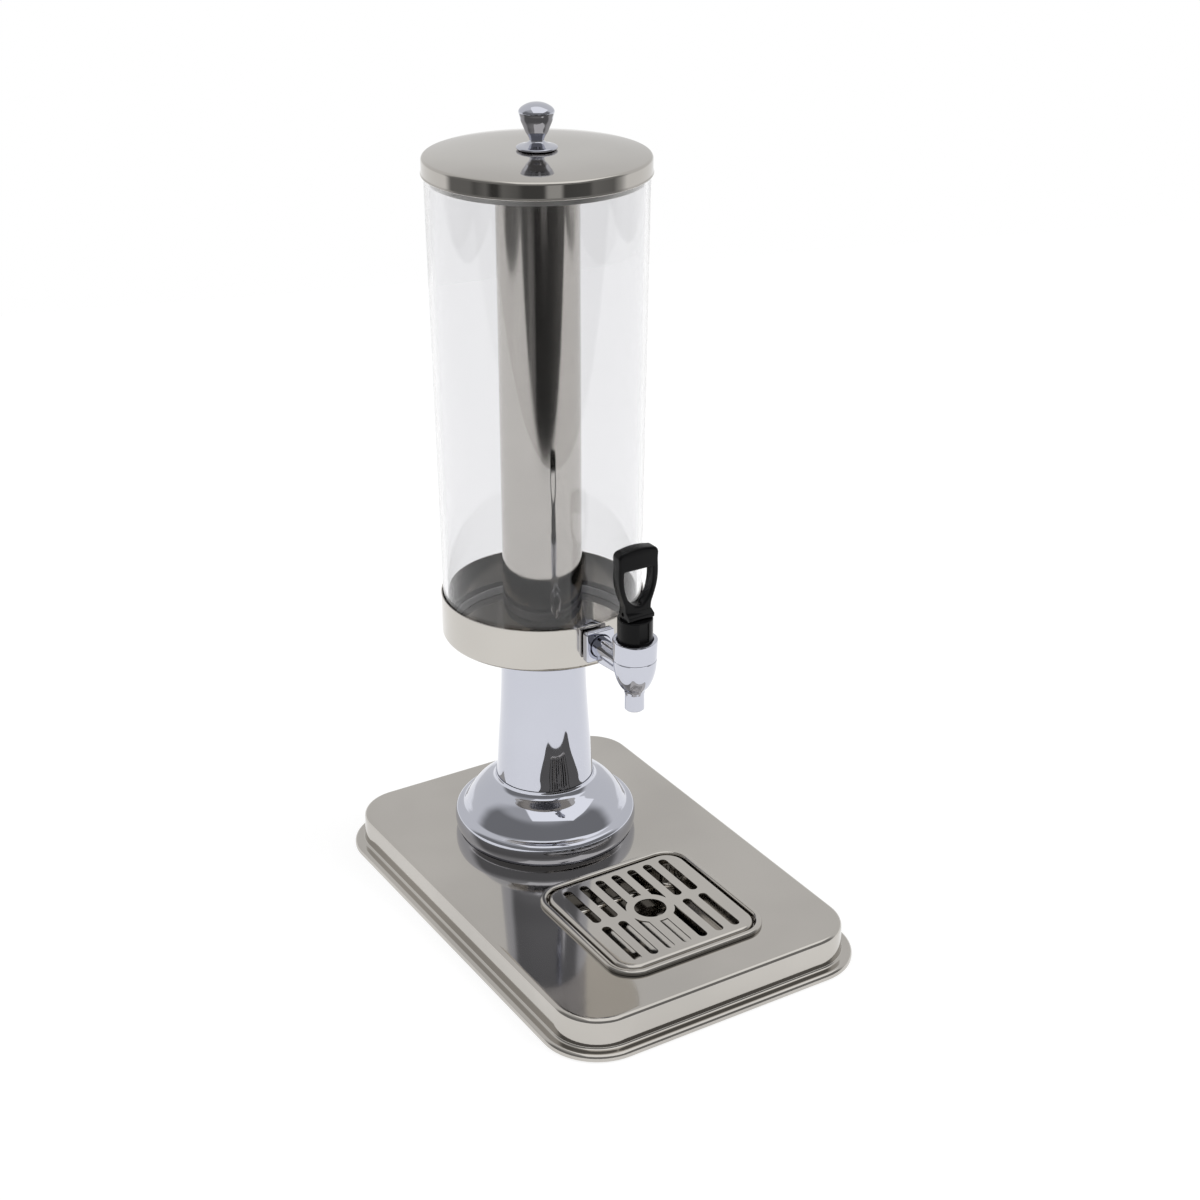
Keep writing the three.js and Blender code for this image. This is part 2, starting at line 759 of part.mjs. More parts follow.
// The lid with its plug ring, knob, washer and screw
function lidGroup() {
  const group = new THREE.Group();
  const screwSeat = lidMiddle - sheet - seatGap;
  const knobScrew = screw(
    knobScrewRadius, knobScrewHeadRadius, knobScrewHeadHeight, screwSeat, knobBottom + knobScrewReach,
  );
  const spacer = washer(
    knobWasherRadius, knobScrewRadius + screwFit, knobBottom, knobWasherThickness, smallSteps,
  );
  group.add(piece('lid', lid(), polishedSteel()));
  group.add(piece('lid_plug_ring', lidPlugRing(), polishedSteel()));
  group.add(piece('lid_knob', knob(), brightChrome()));
  group.add(piece('knob_washer', spacer, brightChrome()));
  group.add(piece('knob_screw', knobScrew, plainSteel()));
  return group;
}

// The tray, seal and cylinder
function tankGroup() {
  const group = new THREE.Group();
  group.add(piece('tank_tray', tankTray(), polishedSteel()));
  group.add(piece('tank_seal', tankSeal(), whiteSilicone()));
  group.add(piece('tank_cylinder', tankCylinder(), clearPlastic()));
  return group;
}

// Where the pieces on the shank begin along Y, counted from the tap's own axis
const trayFront = tapReach - trayRadius;
const outerSealBack = trayFront - seatGap;
const flangeNutBack = outerSealBack - outerSealThickness - seatGap;
const flangeNutFront = flangeNutBack - flangeNutThickness;
const tankBoreAtShank = tankBore(shankHeight);
const innerSag = tankBoreAtShank - Math.sqrt(tankBoreAtShank ** 2 - innerSealRadius ** 2);
const innerSealFront = tapReach - tankBoreAtShank + innerSag + seatGap;
const lockNutFront = innerSealFront + innerSealThickness + seatGap;
const shankEnd = lockNutFront + lockNutThickness + threadOverhang;

// The tap body: bowl, spout, neck, web and threaded shank in one casting, bored through
function tapBody() {
  const height = tapTop - spoutBottom;
  const outline = tapRadiusShares.map((share, i) => point(
    tapRadius * share, spoutBottom + height * tapHeightShares[i],
  ));
  const bowl = turned([point(0, spoutBottom), ...outline, point(0, tapTop)], middleSteps);
  const neckEnd = flangeNutFront - seatGap;
  const webEnd = neckEnd - seatGap;
  const neck = levelBar(neckRadius, 0, neckEnd + shankRadius, shankHeight, smallSteps);
  const shank = levelBar(shankRadius, neckEnd, shankEnd - neckEnd, shankHeight, smallSteps);
  const webOutline = new THREE.Shape([
    point(0, shankHeight),
    point(0, shankHeight - webEndDrop),
    point(tapRadius, shankHeight - webEndDrop),
    point(webEnd, shankHeight - webDrop),
    point(webEnd, shankHeight),
  ]);
  const web = plate(webOutline, -webWidth / 2, webWidth).rotate([90, 0, 90]);
  const spoutBore = roundBar(spoutBoreRadius, spoutBottom - overrun, tapTop - spoutBottom, smallSteps);
  const chamber = turned([
    point(0, valveSeat),
    point(spoutBoreRadius, valveSeat),
    point(chamberRadius, valveSeat + valveSeatSlope),
    point(chamberRadius, collarBottom),
    point(tapRadius - collarWall, collarBottom),
    point(tapRadius - collarWall, tapTop + overrun),
    point(0, tapTop + overrun),
  ], middleSteps);
  const waterway = levelBar(shankBoreRadius, 0, shankEnd + overrun, shankHeight, smallSteps);
  return bowl.add(neck).add(shank).add(web).subtract(spoutBore).subtract(chamber).subtract(waterway);
}

// The square nut that clamps the shank outside the tray
function flangeNut() {
  const half = flangeNutSize / 2;
  const front = [point(-half, -half), point(half, -half)];
  const back = [point(half, half), point(-half, half)];
  const outline = new THREE.Shape([...front, ...back]);
  const bore = shankRadius + shankFit;
  outline.holes.push(new THREE.Path(arc(0, 0, bore, 0, 4 * quarter, smallSteps).slice(1)));
  return plate(outline, 0, flangeNutThickness).rotate([-90, 0, 0]).translate(0, flangeNutFront, shankHeight);
}

// The hexagonal nut that clamps the shank inside the tank
function lockNut() {
  return plate(hexOutline(lockNutAcross, shankRadius + shankFit), 0, lockNutThickness)
    .rotate([-90, 0, 0])
    .translate(0, lockNutFront, shankHeight);
}

// A seal on the shank from one place along Y
function shankSeal(radius, front, thickness) {
  return washer(radius, shankRadius + shankFit, 0, thickness, smallSteps)
    .rotate([-90, 0, 0])
    .translate(0, front, shankHeight);
}

// The black bonnet: a cap over the spring with a hole for the stem and a recess in front
function tapBonnet() {
  const cavityTop = bonnetCrown - bonnetTop;
  const cavity = bonnetRadius - bonnetWall;
  const bore = stemRadius + stemFit;
  const recessDepth = 2 * bonnetRecessDepth;
  const recess = solidFrom(new THREE.BoxGeometry(bonnetRecessWidth, recessDepth, bonnetRecessHeight))
    .translate(0, -bonnetRadius, bonnetCrown - seatGap - bonnetRecessHeight / 2);
  return turnedRing([
    point(cavity, bonnetBottom),
    point(bonnetRadius, bonnetBottom),
    point(bonnetRadius, bonnetCrown - bonnetFit),
    point(bonnetRadius - bonnetFit, bonnetCrown),
    point(bore, bonnetCrown),
    point(bore, cavityTop),
    point(cavity, cavityTop),
  ], middleSteps).subtract(recess);
}

// A round bar along X through the lever's pivot
function crossBar(radius, length) {
  return solidFrom(new THREE.CylinderGeometry(radius, radius, length, smallSteps).rotateZ(quarter))
    .translate(0, 0, pinHeight);
}

// The valve stem: a rod with a collar for the spring and an eye for the pin
function valveStem() {
  const bottom = stemCollarBottom - cupHeight / 2;
  const eye = crossBar(stemRadius, 2 * stemRadius);
  const rod = roundBar(stemRadius, bottom, pinHeight - bottom, smallSteps);
  const collar = roundBar(stemCollarRadius, stemCollarBottom + seatGap, stemCollarThickness, middleSteps);
  return rod.add(collar).add(eye).subtract(crossBar(pinRadius + pinFit, overrun + 2 * stemRadius));
}

// The silicone cup that closes on the valve seat
function seatCup() {
  const bottom = valveSeat + seatGap;
  const socketRadius = stemRadius + seatGap;
  const socketBottom = stemCollarBottom - cupHeight / 2 - seatGap;
  return turned([
    point(0, bottom),
    point(spoutBoreRadius - seatGap, bottom),
    point(cupRadius, bottom + valveSeatSlope),
    point(cupRadius, stemCollarBottom),
    point(socketRadius, stemCollarBottom),
    point(socketRadius, socketBottom),
    point(0, socketBottom),
  ], middleSteps);
}

// The helix of the spring
class SpringPath extends THREE.Curve {
  constructor(bottom, top) {
    super();
    this.bottom = bottom;
    this.top = top;
  }

  getPoint(share, target = new THREE.Vector3()) {
    const angle = 4 * quarter * springTurns * share;
    const height = this.bottom + (this.top - this.bottom) * share;
    return target.set(springRadius * Math.cos(angle), springRadius * Math.sin(angle), height);
  }
}

// The spring between the stem's collar and the bonnet
function valveSpring() {
  const bottom = stemCollarBottom + seatGap + stemCollarThickness + seatGap + springWireRadius;
  const top = bonnetCrown - bonnetTop - seatGap - springWireRadius;
  const wire = new THREE.Shape(arc(0, 0, springWireRadius, 0, 4 * quarter, springWireSides).slice(1));
  const settings = {
    steps: springTurns * springTurnSteps,
    extrudePath: new SpringPath(bottom, top),
    bevelEnabled: false,
  };
  return solidFrom(new THREE.ExtrudeGeometry(wire, settings));
}

// The cam under the lever: flat at rest, then a curve that lifts the stem evenly as it tilts
function camOutline() {
  const back = leverThickness / 2;
  const curve = [];
  for (let i = 0; i <= camSteps; i += 1) {
    const tilt = (leverSwing * i) / camSteps;
    const reach = pinRise + camLift * tilt;
    const y = -reach * Math.sin(tilt) - camLift * Math.cos(tilt);
    const z = -reach * Math.cos(tilt) + camLift * Math.sin(tilt);
    curve.push(point(y, z));
  }
  const tip = curve[curve.length - 1];
  const lipTop = leverLipHeight - pinRise;
  return new THREE.Shape([
    point(back, -pinRise),
    point(back, lipTop),
    point(-back, lipTop),
    point(tip.x, tip.y + (lipTop - tip.y) / 2),
    ...curve.reverse(),
  ]);
}

// The lever's broad face: a waist, a wide head with rounded corners and a crowned top
function leverOutline() {
  const side = leverSideShares.map((share, i) => point(
    leverHalfWidth * share, leverHeight * leverSideHeightShares[i],
  ));
  const cornerX = leverHalfWidth - leverCornerRadius;
  const cornerY = leverHeight - leverCrown - leverCornerRadius;
  const right = [...side, ...arc(cornerX, cornerY, leverCornerRadius, 0, quarter)];
  const left = right.map((spot) => point(-spot.x, spot.y)).reverse();
  const outline = new THREE.Shape([...right, point(0, leverHeight), ...left]);
  outline.holes.push(leverHole());
  return outline;
}

// The lever's finger hole: a flat top and sides that draw in to a round foot
function leverHole() {
  const bottom = leverHeight - leverHoleTopBar - leverHoleHeight;
  const side = leverHoleShares.map((share, i) => point(
    leverHoleHalfWidth * share, bottom + leverHoleHeight * leverHoleHeightShares[i],
  ));
  const other = side.map((spot) => point(-spot.x, spot.y)).reverse();
  return new THREE.Path([point(0, bottom), ...side, ...other]);
}

// The way that the stem takes inside the lever, from upright to full tilt
function forkOutline(radius) {
  const sine = Math.sin(leverSwing);
  const cosine = Math.cos(leverSwing);
  const length = pinRise + camLift + overrun;
  const low = radius * sine - length * cosine;
  return new THREE.Shape([
    point(radius, 0),
    point(-radius * cosine, radius * sine),
    point(-radius * cosine - length * sine, low),
    point(radius, low),
  ]);
}

// The lever with its cam, a fork for the stem and a hole for the pin
function tapLever() {
  const waist = 2 * leverHalfWidth * leverSideShares[0];
  const bottom = pinHeight - pinRise;
  const face = plate(leverOutline(), -leverThickness / 2, leverThickness)
    .rotate([90, 0, 0])
    .translate(0, 0, bottom);
  const cam = plate(camOutline(), -waist / 2, waist)
    .rotate([90, 0, 90])
    .translate(0, 0, pinHeight);
  const forkRadius = stemRadius + seatGap;
  const forkTop = crossBar(forkRadius, leverForkWidth);
  const forkWay = plate(forkOutline(forkRadius), -leverForkWidth / 2, leverForkWidth)
    .rotate([90, 0, 90])
    .translate(0, 0, pinHeight);
  return face.add(cam)
    .subtract(forkTop)
    .subtract(forkWay)
    .subtract(crossBar(pinRadius + pinFit, leverHalfWidth * 2 + overrun));
}

// The tap with its nuts, seals, valve and lever
function tapGroup() {
  const group = new THREE.Group();
  const outerSeal = shankSeal(outerSealRadius, outerSealBack - outerSealThickness, outerSealThickness);
  const innerSeal = shankSeal(innerSealRadius, innerSealFront, innerSealThickness);
  group.add(piece('tap_body', tapBody(), brightChrome()));
  group.add(piece('flange_nut', flangeNut(), brightChrome()));
  group.add(piece('outer_seal', outerSeal, blackRubber()));
  group.add(piece('inner_seal', innerSeal, whiteSilicone()));
  group.add(piece('lock_nut', lockNut(), brightChrome()));
  group.add(piece('tap_bonnet', tapBonnet(), blackPlastic()));
  group.add(piece('valve_stem', valveStem(), plainSteel()));
  group.add(piece('seat_cup', seatCup(), whiteSilicone()));
  group.add(piece('valve_spring', valveSpring(), plainSteel()));
  group.add(piece('lever_pin', crossBar(pinRadius, pinLength), plainSteel()));
  group.add(piece('tap_lever', tapLever(), blackPlastic()));
  return group;
}

// The whole dispenser
function dispenser() {
  const whole = new THREE.Group();
  const well = new THREE.Group();
  const tower = new THREE.Group();
  const tap = tapGroup();
  well.add(piece('drip_pan', dripPan(), polishedSteel()));
  well.add(piece('drip_grille', dripGrille(), polishedSteel()));
  well.position.y = -panForward;
  tower.add(columnGroup(), tankGroup(), iceTubeGroup(), lidGroup());
  tower.position.y = tankSetback;
  tap.position.y = tankSetback - tapReach;
  whole.add(piece('base_pan', basePan(), polishedSteel()));
  whole.add(footSets(), well, tower, tap);
  return whole;
}

export default dispenser();
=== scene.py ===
"""Juice dispenser: a steel base with a drip pan, a chromed column, and a clear tank with a tap.

The classes from Base to Lever each build one sub-assembly over the frame of solids, and Studio
sets the floor, the sky, the lamps and the camera. What comes before them makes finishes, outlines
and forms. Lengths in the sub-assemblies are millimetres, +Z is up and the tap faces -Y. A
finished piece is scaled to metres.
"""

import logging
import math
from collections.abc import Callable, Sequence
from dataclasses import dataclass, field
from enum import Enum

import bmesh
import bpy
from mathutils import Matrix, Vector


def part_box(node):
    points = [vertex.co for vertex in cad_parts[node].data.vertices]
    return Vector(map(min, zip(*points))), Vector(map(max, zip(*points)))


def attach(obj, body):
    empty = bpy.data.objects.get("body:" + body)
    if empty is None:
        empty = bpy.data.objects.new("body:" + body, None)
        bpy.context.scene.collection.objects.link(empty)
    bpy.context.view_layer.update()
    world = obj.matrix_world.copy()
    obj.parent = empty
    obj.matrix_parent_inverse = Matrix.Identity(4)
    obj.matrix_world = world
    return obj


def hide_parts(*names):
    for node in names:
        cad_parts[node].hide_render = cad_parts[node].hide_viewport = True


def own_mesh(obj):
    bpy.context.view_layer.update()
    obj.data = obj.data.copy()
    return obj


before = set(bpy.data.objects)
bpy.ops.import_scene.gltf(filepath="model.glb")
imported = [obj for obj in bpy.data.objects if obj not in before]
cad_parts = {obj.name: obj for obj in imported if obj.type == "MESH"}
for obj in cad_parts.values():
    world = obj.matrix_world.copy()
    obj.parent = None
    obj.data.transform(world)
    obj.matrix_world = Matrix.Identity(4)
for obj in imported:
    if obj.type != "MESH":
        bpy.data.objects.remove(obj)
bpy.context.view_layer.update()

log = logging.getLogger("dispenser")

Spot = tuple[float, float]
Corner = tuple[float, ...]
Colour = tuple[float, float, float]
Triple = tuple[float, float, float]
Sides = tuple[float, float, float, float]
Socket = bpy.types.NodeSocket

TO_METRES = 0.001
QUARTER = math.pi / 2
FULL_TURN = 2 * math.pi
WHITE = (1.0, 1.0, 1.0, 1.0)

# Facets around turned pieces, from the largest pieces to the smallest.
FINE_STEPS = 192
ROUND_STEPS = 144
SMALL_STEPS = 64
TINY_STEPS = 48

# How close two corners lie when they are merged: as made, after a cut, and from a curve.
WELD = 0.0005
SEAM = 0.004
CURVE_WELD = 0.002

# The usual rounding of an edge, the least angle that shades sharp, and the least one rounded.
EDGE = 0.3
CREASE = math.radians(32)
SHARP = math.radians(50)


class Body(Enum):
    """The bodies that pieces ride on."""

    FRAME = "frame"
    LID = "lid"
    ICE_TUBE = "ice_tube"
    DRIP_PAN = "drip_pan"
    DRIP_GRILLE = "drip_grille"
    VALVE = "valve"
    LEVER = "lever"


class Slot(Enum):
    """The material slots of the record."""

    POLISHED_STEEL = "polished_steel"
    CHROME = "chrome"
    PLAIN_STEEL = "plain_steel"
    CLEAR = "clear_polycarbonate"
    BLACK_PLASTIC = "black_plastic"
    RUBBER = "black_rubber"
    SILICONE = "white_silicone"


class Axis(Enum):
    """The axis that a turned or extruded form is laid along, with the turn from +Z."""

    X = (QUARTER, "Y")
    Y = (-QUARTER, "X")


def _operation(kind: str, swapped: bool = False, clamp: bool = False) -> Callable[..., "Term"]:
    """Return a method that adds one Math node.

    Args:
        kind: The node's operation.
        swapped: Whether the sides trade places, as the reflected forms need.
        clamp: Whether the result is kept between 0 and 1.

    Returns:
        The method.
    """
    def method(self: "Term", *others: "Term | float") -> "Term":
        """Add the node and return its result."""
        values = dict(enumerate((*others, self) if swapped else (self, *others)))
        node = self.graph.add("ShaderNodeMath", values, operation=kind, use_clamp=clamp)
        return self.graph.term(node)

    return method


class Term:
    """A number socket in a node tree, with the arithmetic that adds its Math nodes."""

    def __init__(self, graph: "Graph", socket: Socket) -> None:
        """Wrap a socket of a graph."""
        self.graph = graph
        self.socket = socket

    __add__ = __radd__ = _operation("ADD")
    __sub__ = _operation("SUBTRACT")
    __rsub__ = _operation("SUBTRACT", swapped=True)
    __mul__ = __rmul__ = _operation("MULTIPLY")
    __truediv__ = _operation("DIVIDE")
    __gt__ = _operation("GREATER_THAN")
    larger = _operation("MAXIMUM")
    share = _operation("FRACT")
    size = _operation("ABSOLUTE")
    angle = _operation("ARCTAN2")
    _held_sum = _operation("ADD", clamp=True)

    def held(self) -> "Term":
        """Return the value kept between 0 and 1."""
        return self._held_sum(0.0)

    def ramp(self, low: float, high: float) -> "Term":
        """Return a smooth rise from 0 at low to 1 at high."""
        inputs = {"Value": self, "From Min": low, "From Max": high}
        settings = {"interpolation_type": "SMOOTHSTEP"}
        return self.graph.term(self.graph.add("ShaderNodeMapRange", inputs, **settings))


class Graph:
    """Builds the nodes of one tree."""

    def __init__(self, tree: bpy.types.NodeTree) -> None:
        """Empty a tree and start to build in it."""
        self.tree = tree
        tree.nodes.clear()

    def add(self, kind: str, inputs: dict | None = None, **settings: object) -> bpy.types.Node:
        """Add one node.

        Args:
            kind: The node's type.
            inputs: Values or links by the socket's name or number.
            settings: Its properties, set first. "stops" holds a ramp's places and levels.

        Returns:
            The node.
        """
        node = self.tree.nodes.new(kind)
        for name, value in settings.items():
            if name == "stops":
                self._set_stops(node.color_ramp.elements, value)
            else:
                setattr(node, name, value)
        for key, value in (inputs or {}).items():
            self.feed(node.inputs[key], value)
        return node

    def feed(self, socket: Socket, value: object) -> None:
        """Link a term or a socket to an input, or set the input's value."""
        if isinstance(value, Term):
            value = value.socket
        if isinstance(value, Socket):
            self.tree.links.new(value, socket)
        else:
            socket.default_value = value

    def term(self, node: bpy.types.Node, output: str | int = 0) -> Term:
        """Return one output of a node as a term."""
        return Term(self, node.outputs[output])

    def parts(self, vector: Socket) -> list[Term]:
        """Return the three parts of a vector."""
        node = self.add("ShaderNodeSeparateXYZ", {0: vector})
        return [self.term(node, i) for i in range(3)]

    @staticmethod
    def _set_stops(elements: bpy.types.ColorRampElements, stops: Sequence[Spot]) -> None:
        """Set a ramp's places and grey levels."""
        while len(elements) < len(stops):
            elements.new(1.0)
        for element, (place, level) in zip(elements, stops):
            element.position = place
            element.color = (level, level, level, 1.0)


class Shader(Graph):
    """Builds one material's nodes."""

    def __init__(self, name: str) -> None:
        """Start a material with a surface shader."""
        self.material = bpy.data.materials.new(name)
        self.material.use_nodes = True
        super().__init__(self.material.node_tree)
        self.place = self.add("ShaderNodeTexCoord").outputs["Object"]

    def noise(self, scale: float, detail: float, stretch: Triple = (1.0, 1.0, 1.0)) -> Term:
        """Return a noise from 0 to 1, with its waves to the metre and its octaves."""
        mapping = self.add("ShaderNodeMapping", {"Vector": self.place, "Scale": stretch})
        inputs = {"Vector": mapping.outputs[0], "Scale": scale, "Detail": detail}
        return self.term(self.add("ShaderNodeTexNoise", inputs))

    def blend(self, factor: Term, low: Colour, high: Colour) -> Socket:
        """Return a colour between two others."""
        inputs = {0: factor, 6: (*low, 1.0), 7: (*high, 1.0)}
        return self.add("ShaderNodeMix", inputs, data_type="RGBA").outputs[2]

    def relief(self, height: Term, depth: float) -> Socket:
        """Return a normal that is bent by a height from 0 to 1, with the depth in metres."""
        return self.add("ShaderNodeBump", {"Height": height, "Distance": depth}).outputs[0]

    def close(self, surface: bpy.types.Node) -> bpy.types.Material:
        """Finish the material with a surface node."""
        self.add("ShaderNodeOutputMaterial", {"Surface": surface.outputs[0]})
        return self.material


@dataclass(frozen=True)
class Finish:
    """What every finish has."""

    name: str
    slot: Slot
    tone: Colour = (0.5, 0.5, 0.5)
    tone_spread: float = 0.05
    roughness: float = 0.1
    roughness_spread: float = 0.05

    def material(self) -> bpy.types.Material:
        """Return the finish's material, made once."""
        known = bpy.data.materials.get(self.name)
        if known:
            return known
        shader = Shader(self.name)
        return shader.close(shader.add("ShaderNodeBsdfPrincipled", self.inputs(shader)))

    def tones(self) -> tuple[Colour, Colour]:
        """Return the darker and the lighter end of the tone."""
        ends = (1 - self.tone_spread, 1 + self.tone_spread)
        low, high = (tuple(min(part * end, 1.0) for part in self.tone) for end in ends)
        return low, high

    def inputs(self, shader: Shader) -> dict:
        """Build the nodes of the finish and return what feeds its surface."""
        raise NotImplementedError


@dataclass(frozen=True)
class PolishedMetal(Finish):
    """A polished or plated metal with a slow change of tone and fine polishing marks."""

    tone: Colour = (0.50, 0.478, 0.447)
    tone_spread: float = 0.06
    roughness: float = 0.07
    least_roughness: float = 0.02
    wave_size: float = 0.06
    wave_depth: float = 0.00008
    marks: Triple = (1.0, 1.0, 1.0)
    marks_size: float = 0.0015
    marks_depth: float = 0.0

    def inputs(self, shader: Shader) -> dict:
        """Build the nodes of the metal and return what feeds its surface."""
        cloud = shader.noise(1 / (2 * self.wave_size), 3.0)
        marks = shader.noise(1 / self.marks_size, 2.0, self.marks)
        rough = self.roughness + (cloud - 0.5) * self.roughness_spread
        rough = rough + (marks - 0.5) * self.roughness_spread
        height = shader.noise(1 / self.wave_size, 1.0) + marks * self.marks_depth
        return {
            "Base Color": shader.blend(cloud.ramp(0.3, 0.7), *self.tones()),
            "Metallic": 1.0,
            "Roughness": rough.larger(self.least_roughness),
            "Normal": shader.relief(height, self.wave_depth),
        }


@dataclass(frozen=True)
class Moulding(Finish):
    """A moulded plastic, rubber or silicone with a fine grain."""

    tone: Colour = (0.006, 0.006, 0.0065)
    tone_spread: float = 0.25
    roughness: float = 0.2
    roughness_spread: float = 0.08
    cloud_scale: float = 40.0
    grain_size: float = 0.0008
    grain_depth: float = 0.00001
    gloss: float = 0.12

    def inputs(self, shader: Shader) -> dict:
        """Build the nodes of the moulding and return what feeds its surface."""
        cloud = shader.noise(self.cloud_scale, 3.0)
        grain = shader.noise(1 / self.grain_size, 2.0)
        rough = self.roughness + (cloud - 0.5) * self.roughness_spread
        return {
            "Base Color": shader.blend(cloud.ramp(0.3, 0.7), *self.tones()),
            "Roughness": rough + (grain - 0.5) * self.roughness_spread,
            "Specular IOR Level": self.gloss,
            "Normal": shader.relief(grain, self.grain_depth),
        }


@dataclass(frozen=True)
class ClearPlastic(Finish):
    """A clear plastic with a faint tint and a few fine scratches."""

    tone: Colour = (0.885, 0.885, 0.894)
    tone_spread: float = 0.01
    roughness: float = 0.012
    roughness_spread: float = 0.012
    refraction: float = 1.42
    cloud_scale: float = 12.0
    scratch_scale: float = 900.0
    scratch_stretch: Triple = (1.0, 1.0, 0.05)

    def inputs(self, shader: Shader) -> dict:
        """Build the nodes of the plastic and return what feeds its surface."""
        cloud = shader.noise(self.cloud_scale, 2.0)
        scratches = shader.noise(self.scratch_scale, 2.0, self.scratch_stretch)
        return {
            "Base Color": shader.blend(cloud, *self.tones()),
            "Roughness": self.roughness + scratches.ramp(0.62, 0.75) * self.roughness_spread,
            "IOR": self.refraction,
            "Transmission Weight": 1.0,
        }


POLISHED = PolishedMetal("Polished steel", Slot.POLISHED_STEEL)
DRAWN = PolishedMetal(
    "Drawn steel", Slot.POLISHED_STEEL, tone=(0.53, 0.508, 0.475), wave_size=0.09,
    roughness=0.09, marks=(1.0, 1.0, 30.0),
)
SATIN = PolishedMetal(
    "Satin steel", Slot.POLISHED_STEEL, tone=(0.64, 0.63, 0.61), wave_size=0.05,
    roughness=0.42, marks=(1.0, 1.0, 30.0),
)
CHROME = PolishedMetal(
    "Bright chrome", Slot.CHROME, tone=(0.545, 0.557, 0.62), tone_spread=0.02,
    roughness=0.03, roughness_spread=0.02, wave_size=0.05, wave_depth=0.00002,
)
PLAIN = PolishedMetal(
    "Plain steel", Slot.PLAIN_STEEL, tone=(0.42, 0.42, 0.41), tone_spread=0.12,
    roughness=0.32, roughness_spread=0.16, wave_size=0.01, marks_size=0.0006,
    marks_depth=1.5, wave_depth=0.00002,
)
CLEAR = ClearPlastic("Clear plastic", Slot.CLEAR)
BLACK = Moulding("Black gloss plastic", Slot.BLACK_PLASTIC)
RUBBER = Moulding(
    "Black rubber", Slot.RUBBER, tone=(0.018, 0.018, 0.018), roughness=0.75,
    grain_depth=0.00005, gloss=0.3,
)
SILICONE = Moulding(
    "White silicone", Slot.SILICONE, tone=(0.72, 0.72, 0.71), tone_spread=0.05, roughness=0.5,
)
# Painted shade: the white silicone seal is given a dark grey tone so that the gap between the tray
# and the clear cylinder, whose glass casts no shadow, shows dark.
SEAL_PAINTED_SHADE = Moulding(
    "Silicone with painted shade", Slot.SILICONE, tone=(0.16, 0.16, 0.165), tone_spread=0.08,
    roughness=0.45, gloss=0.4,
)


def shown(name: str, data: bpy.types.ID) -> bpy.types.Object:
    """Put an object with this data in the scene."""
    thing = bpy.data.objects.new(name, data)
    bpy.context.scene.collection.objects.link(thing)
    return thing


def arc(x: float, y: float, radius: float, start: float, end: float, steps: int) -> list[Spot]:
    """Return points of an arc from one angle to another."""
    angles = [start + (end - start) * i / steps for i in range(steps + 1)]
    return [(x + radius * math.cos(angle), y + radius * math.sin(angle)) for angle in angles]


def bent(corners: Sequence[Corner], steps: int = 6) -> list[Spot]:
    """Round the corners of an open line.

    Args:
        corners: Points as (x, y) or (x, y, radius).
        steps: Straight parts in each bend.

    Returns:
        The points of the rounded line.
    """
    line: list[Spot] = []
    for i, (x, y, *radius) in enumerate(corners):
        spot = Vector((x, y))
        if not radius or radius[0] <= 0 or i in (0, len(corners) - 1):
            line.append((spot.x, spot.y))
            continue
        before = (Vector(corners[i - 1][:2]) - spot).normalized()
        after = (Vector(corners[i + 1][:2]) - spot).normalized()
        half = before.angle(after) / 2
        centre = spot + (before + after).normalized() * radius[0] / math.sin(half)
        start = spot + before * radius[0] / math.tan(half) - centre
        sweep = start.angle_signed(spot + after * radius[0] / math.tan(half) - centre)
        for step in range(steps + 1):
            turned = start.copy()
            turned.rotate(Matrix.Rotation(-sweep * step / steps, 2))
            line.append((centre.x + turned.x, centre.y + turned.y))
    return line


def eased(corners: Sequence[Corner], steps: int) -> list[Spot]:
    """Round the corners of a closed line, each given as (x, y) or (x, y, radius)."""
    return bent([corners[-1], *corners, corners[0]], steps)[1:-1]


def offset_line(line: Sequence[Spot], distance: float) -> list[Spot]:
    """Move an open line to its right by a distance, with mitred bends."""
    normals = []
    for (x0, y0), (x1, y1) in zip(line, line[1:]):
        length = math.hypot(x1 - x0, y1 - y0)
        normals.append(Vector(((y1 - y0) / length, (x0 - x1) / length)))
    moved = []
    for (x, y), before, after in zip(line, [normals[0], *normals], [*normals, normals[-1]]):
        mitre = (before + after) / (1 + before.dot(after))
        moved.append((x + mitre.x * distance, y + mitre.y * distance))
    return moved


def smooth(line: Sequence[Spot], steps: int = 6) -> list[Spot]:
    """Draw a smooth curve through the points of an open line.

    Args:
        line: The points.
        steps: Straight parts between two points.

    Returns:
        The points of the curve.
    """
    points = [Vector(spot) for spot in line]
    points = [2 * points[0] - points[1], *points, 2 * points[-1] - points[-2]]
    curve: list[Spot] = []
    for four in zip(points, points[1:], points[2:], points[3:]):
        before, start, end, after = four
        a, b, c = (math.sqrt(max((q - p).length, 1e-6)) for p, q in zip(four, four[1:]))
        here = (start - before) / a - (end - before) / (a + b) + (end - start) / b
        there = (end - start) / b - (after - start) / (b + c) + (after - end) / c
        here, there = here * b, there * b
        for step in range(steps):
            t = step / steps
            spot = (
                start * (2 * t ** 3 - 3 * t ** 2 + 1) + here * (t ** 3 - 2 * t ** 2 + t)
                + end * (3 * t ** 2 - 2 * t ** 3) + there * (t ** 3 - t ** 2)
            )
            curve.append((spot.x, spot.y))
    return [*curve, (points[-2].x, points[-2].y)]


def propped(line: Sequence[Spot], inset: float = EDGE) -> list[Spot]:
    """Add points near the ends of long straight parts, so that flats shade flat beside bends."""
    result: list[Spot] = []
    for start, end in zip(line, line[1:]):
        a, b = Vector(start), Vector(end)
        length = (b - a).length
        result.append(start)
        if length > 4 * inset:
            result.extend(tuple(a.lerp(b, s)) for s in (inset / length, 1 - inset / length))
    return [*result, line[-1]]


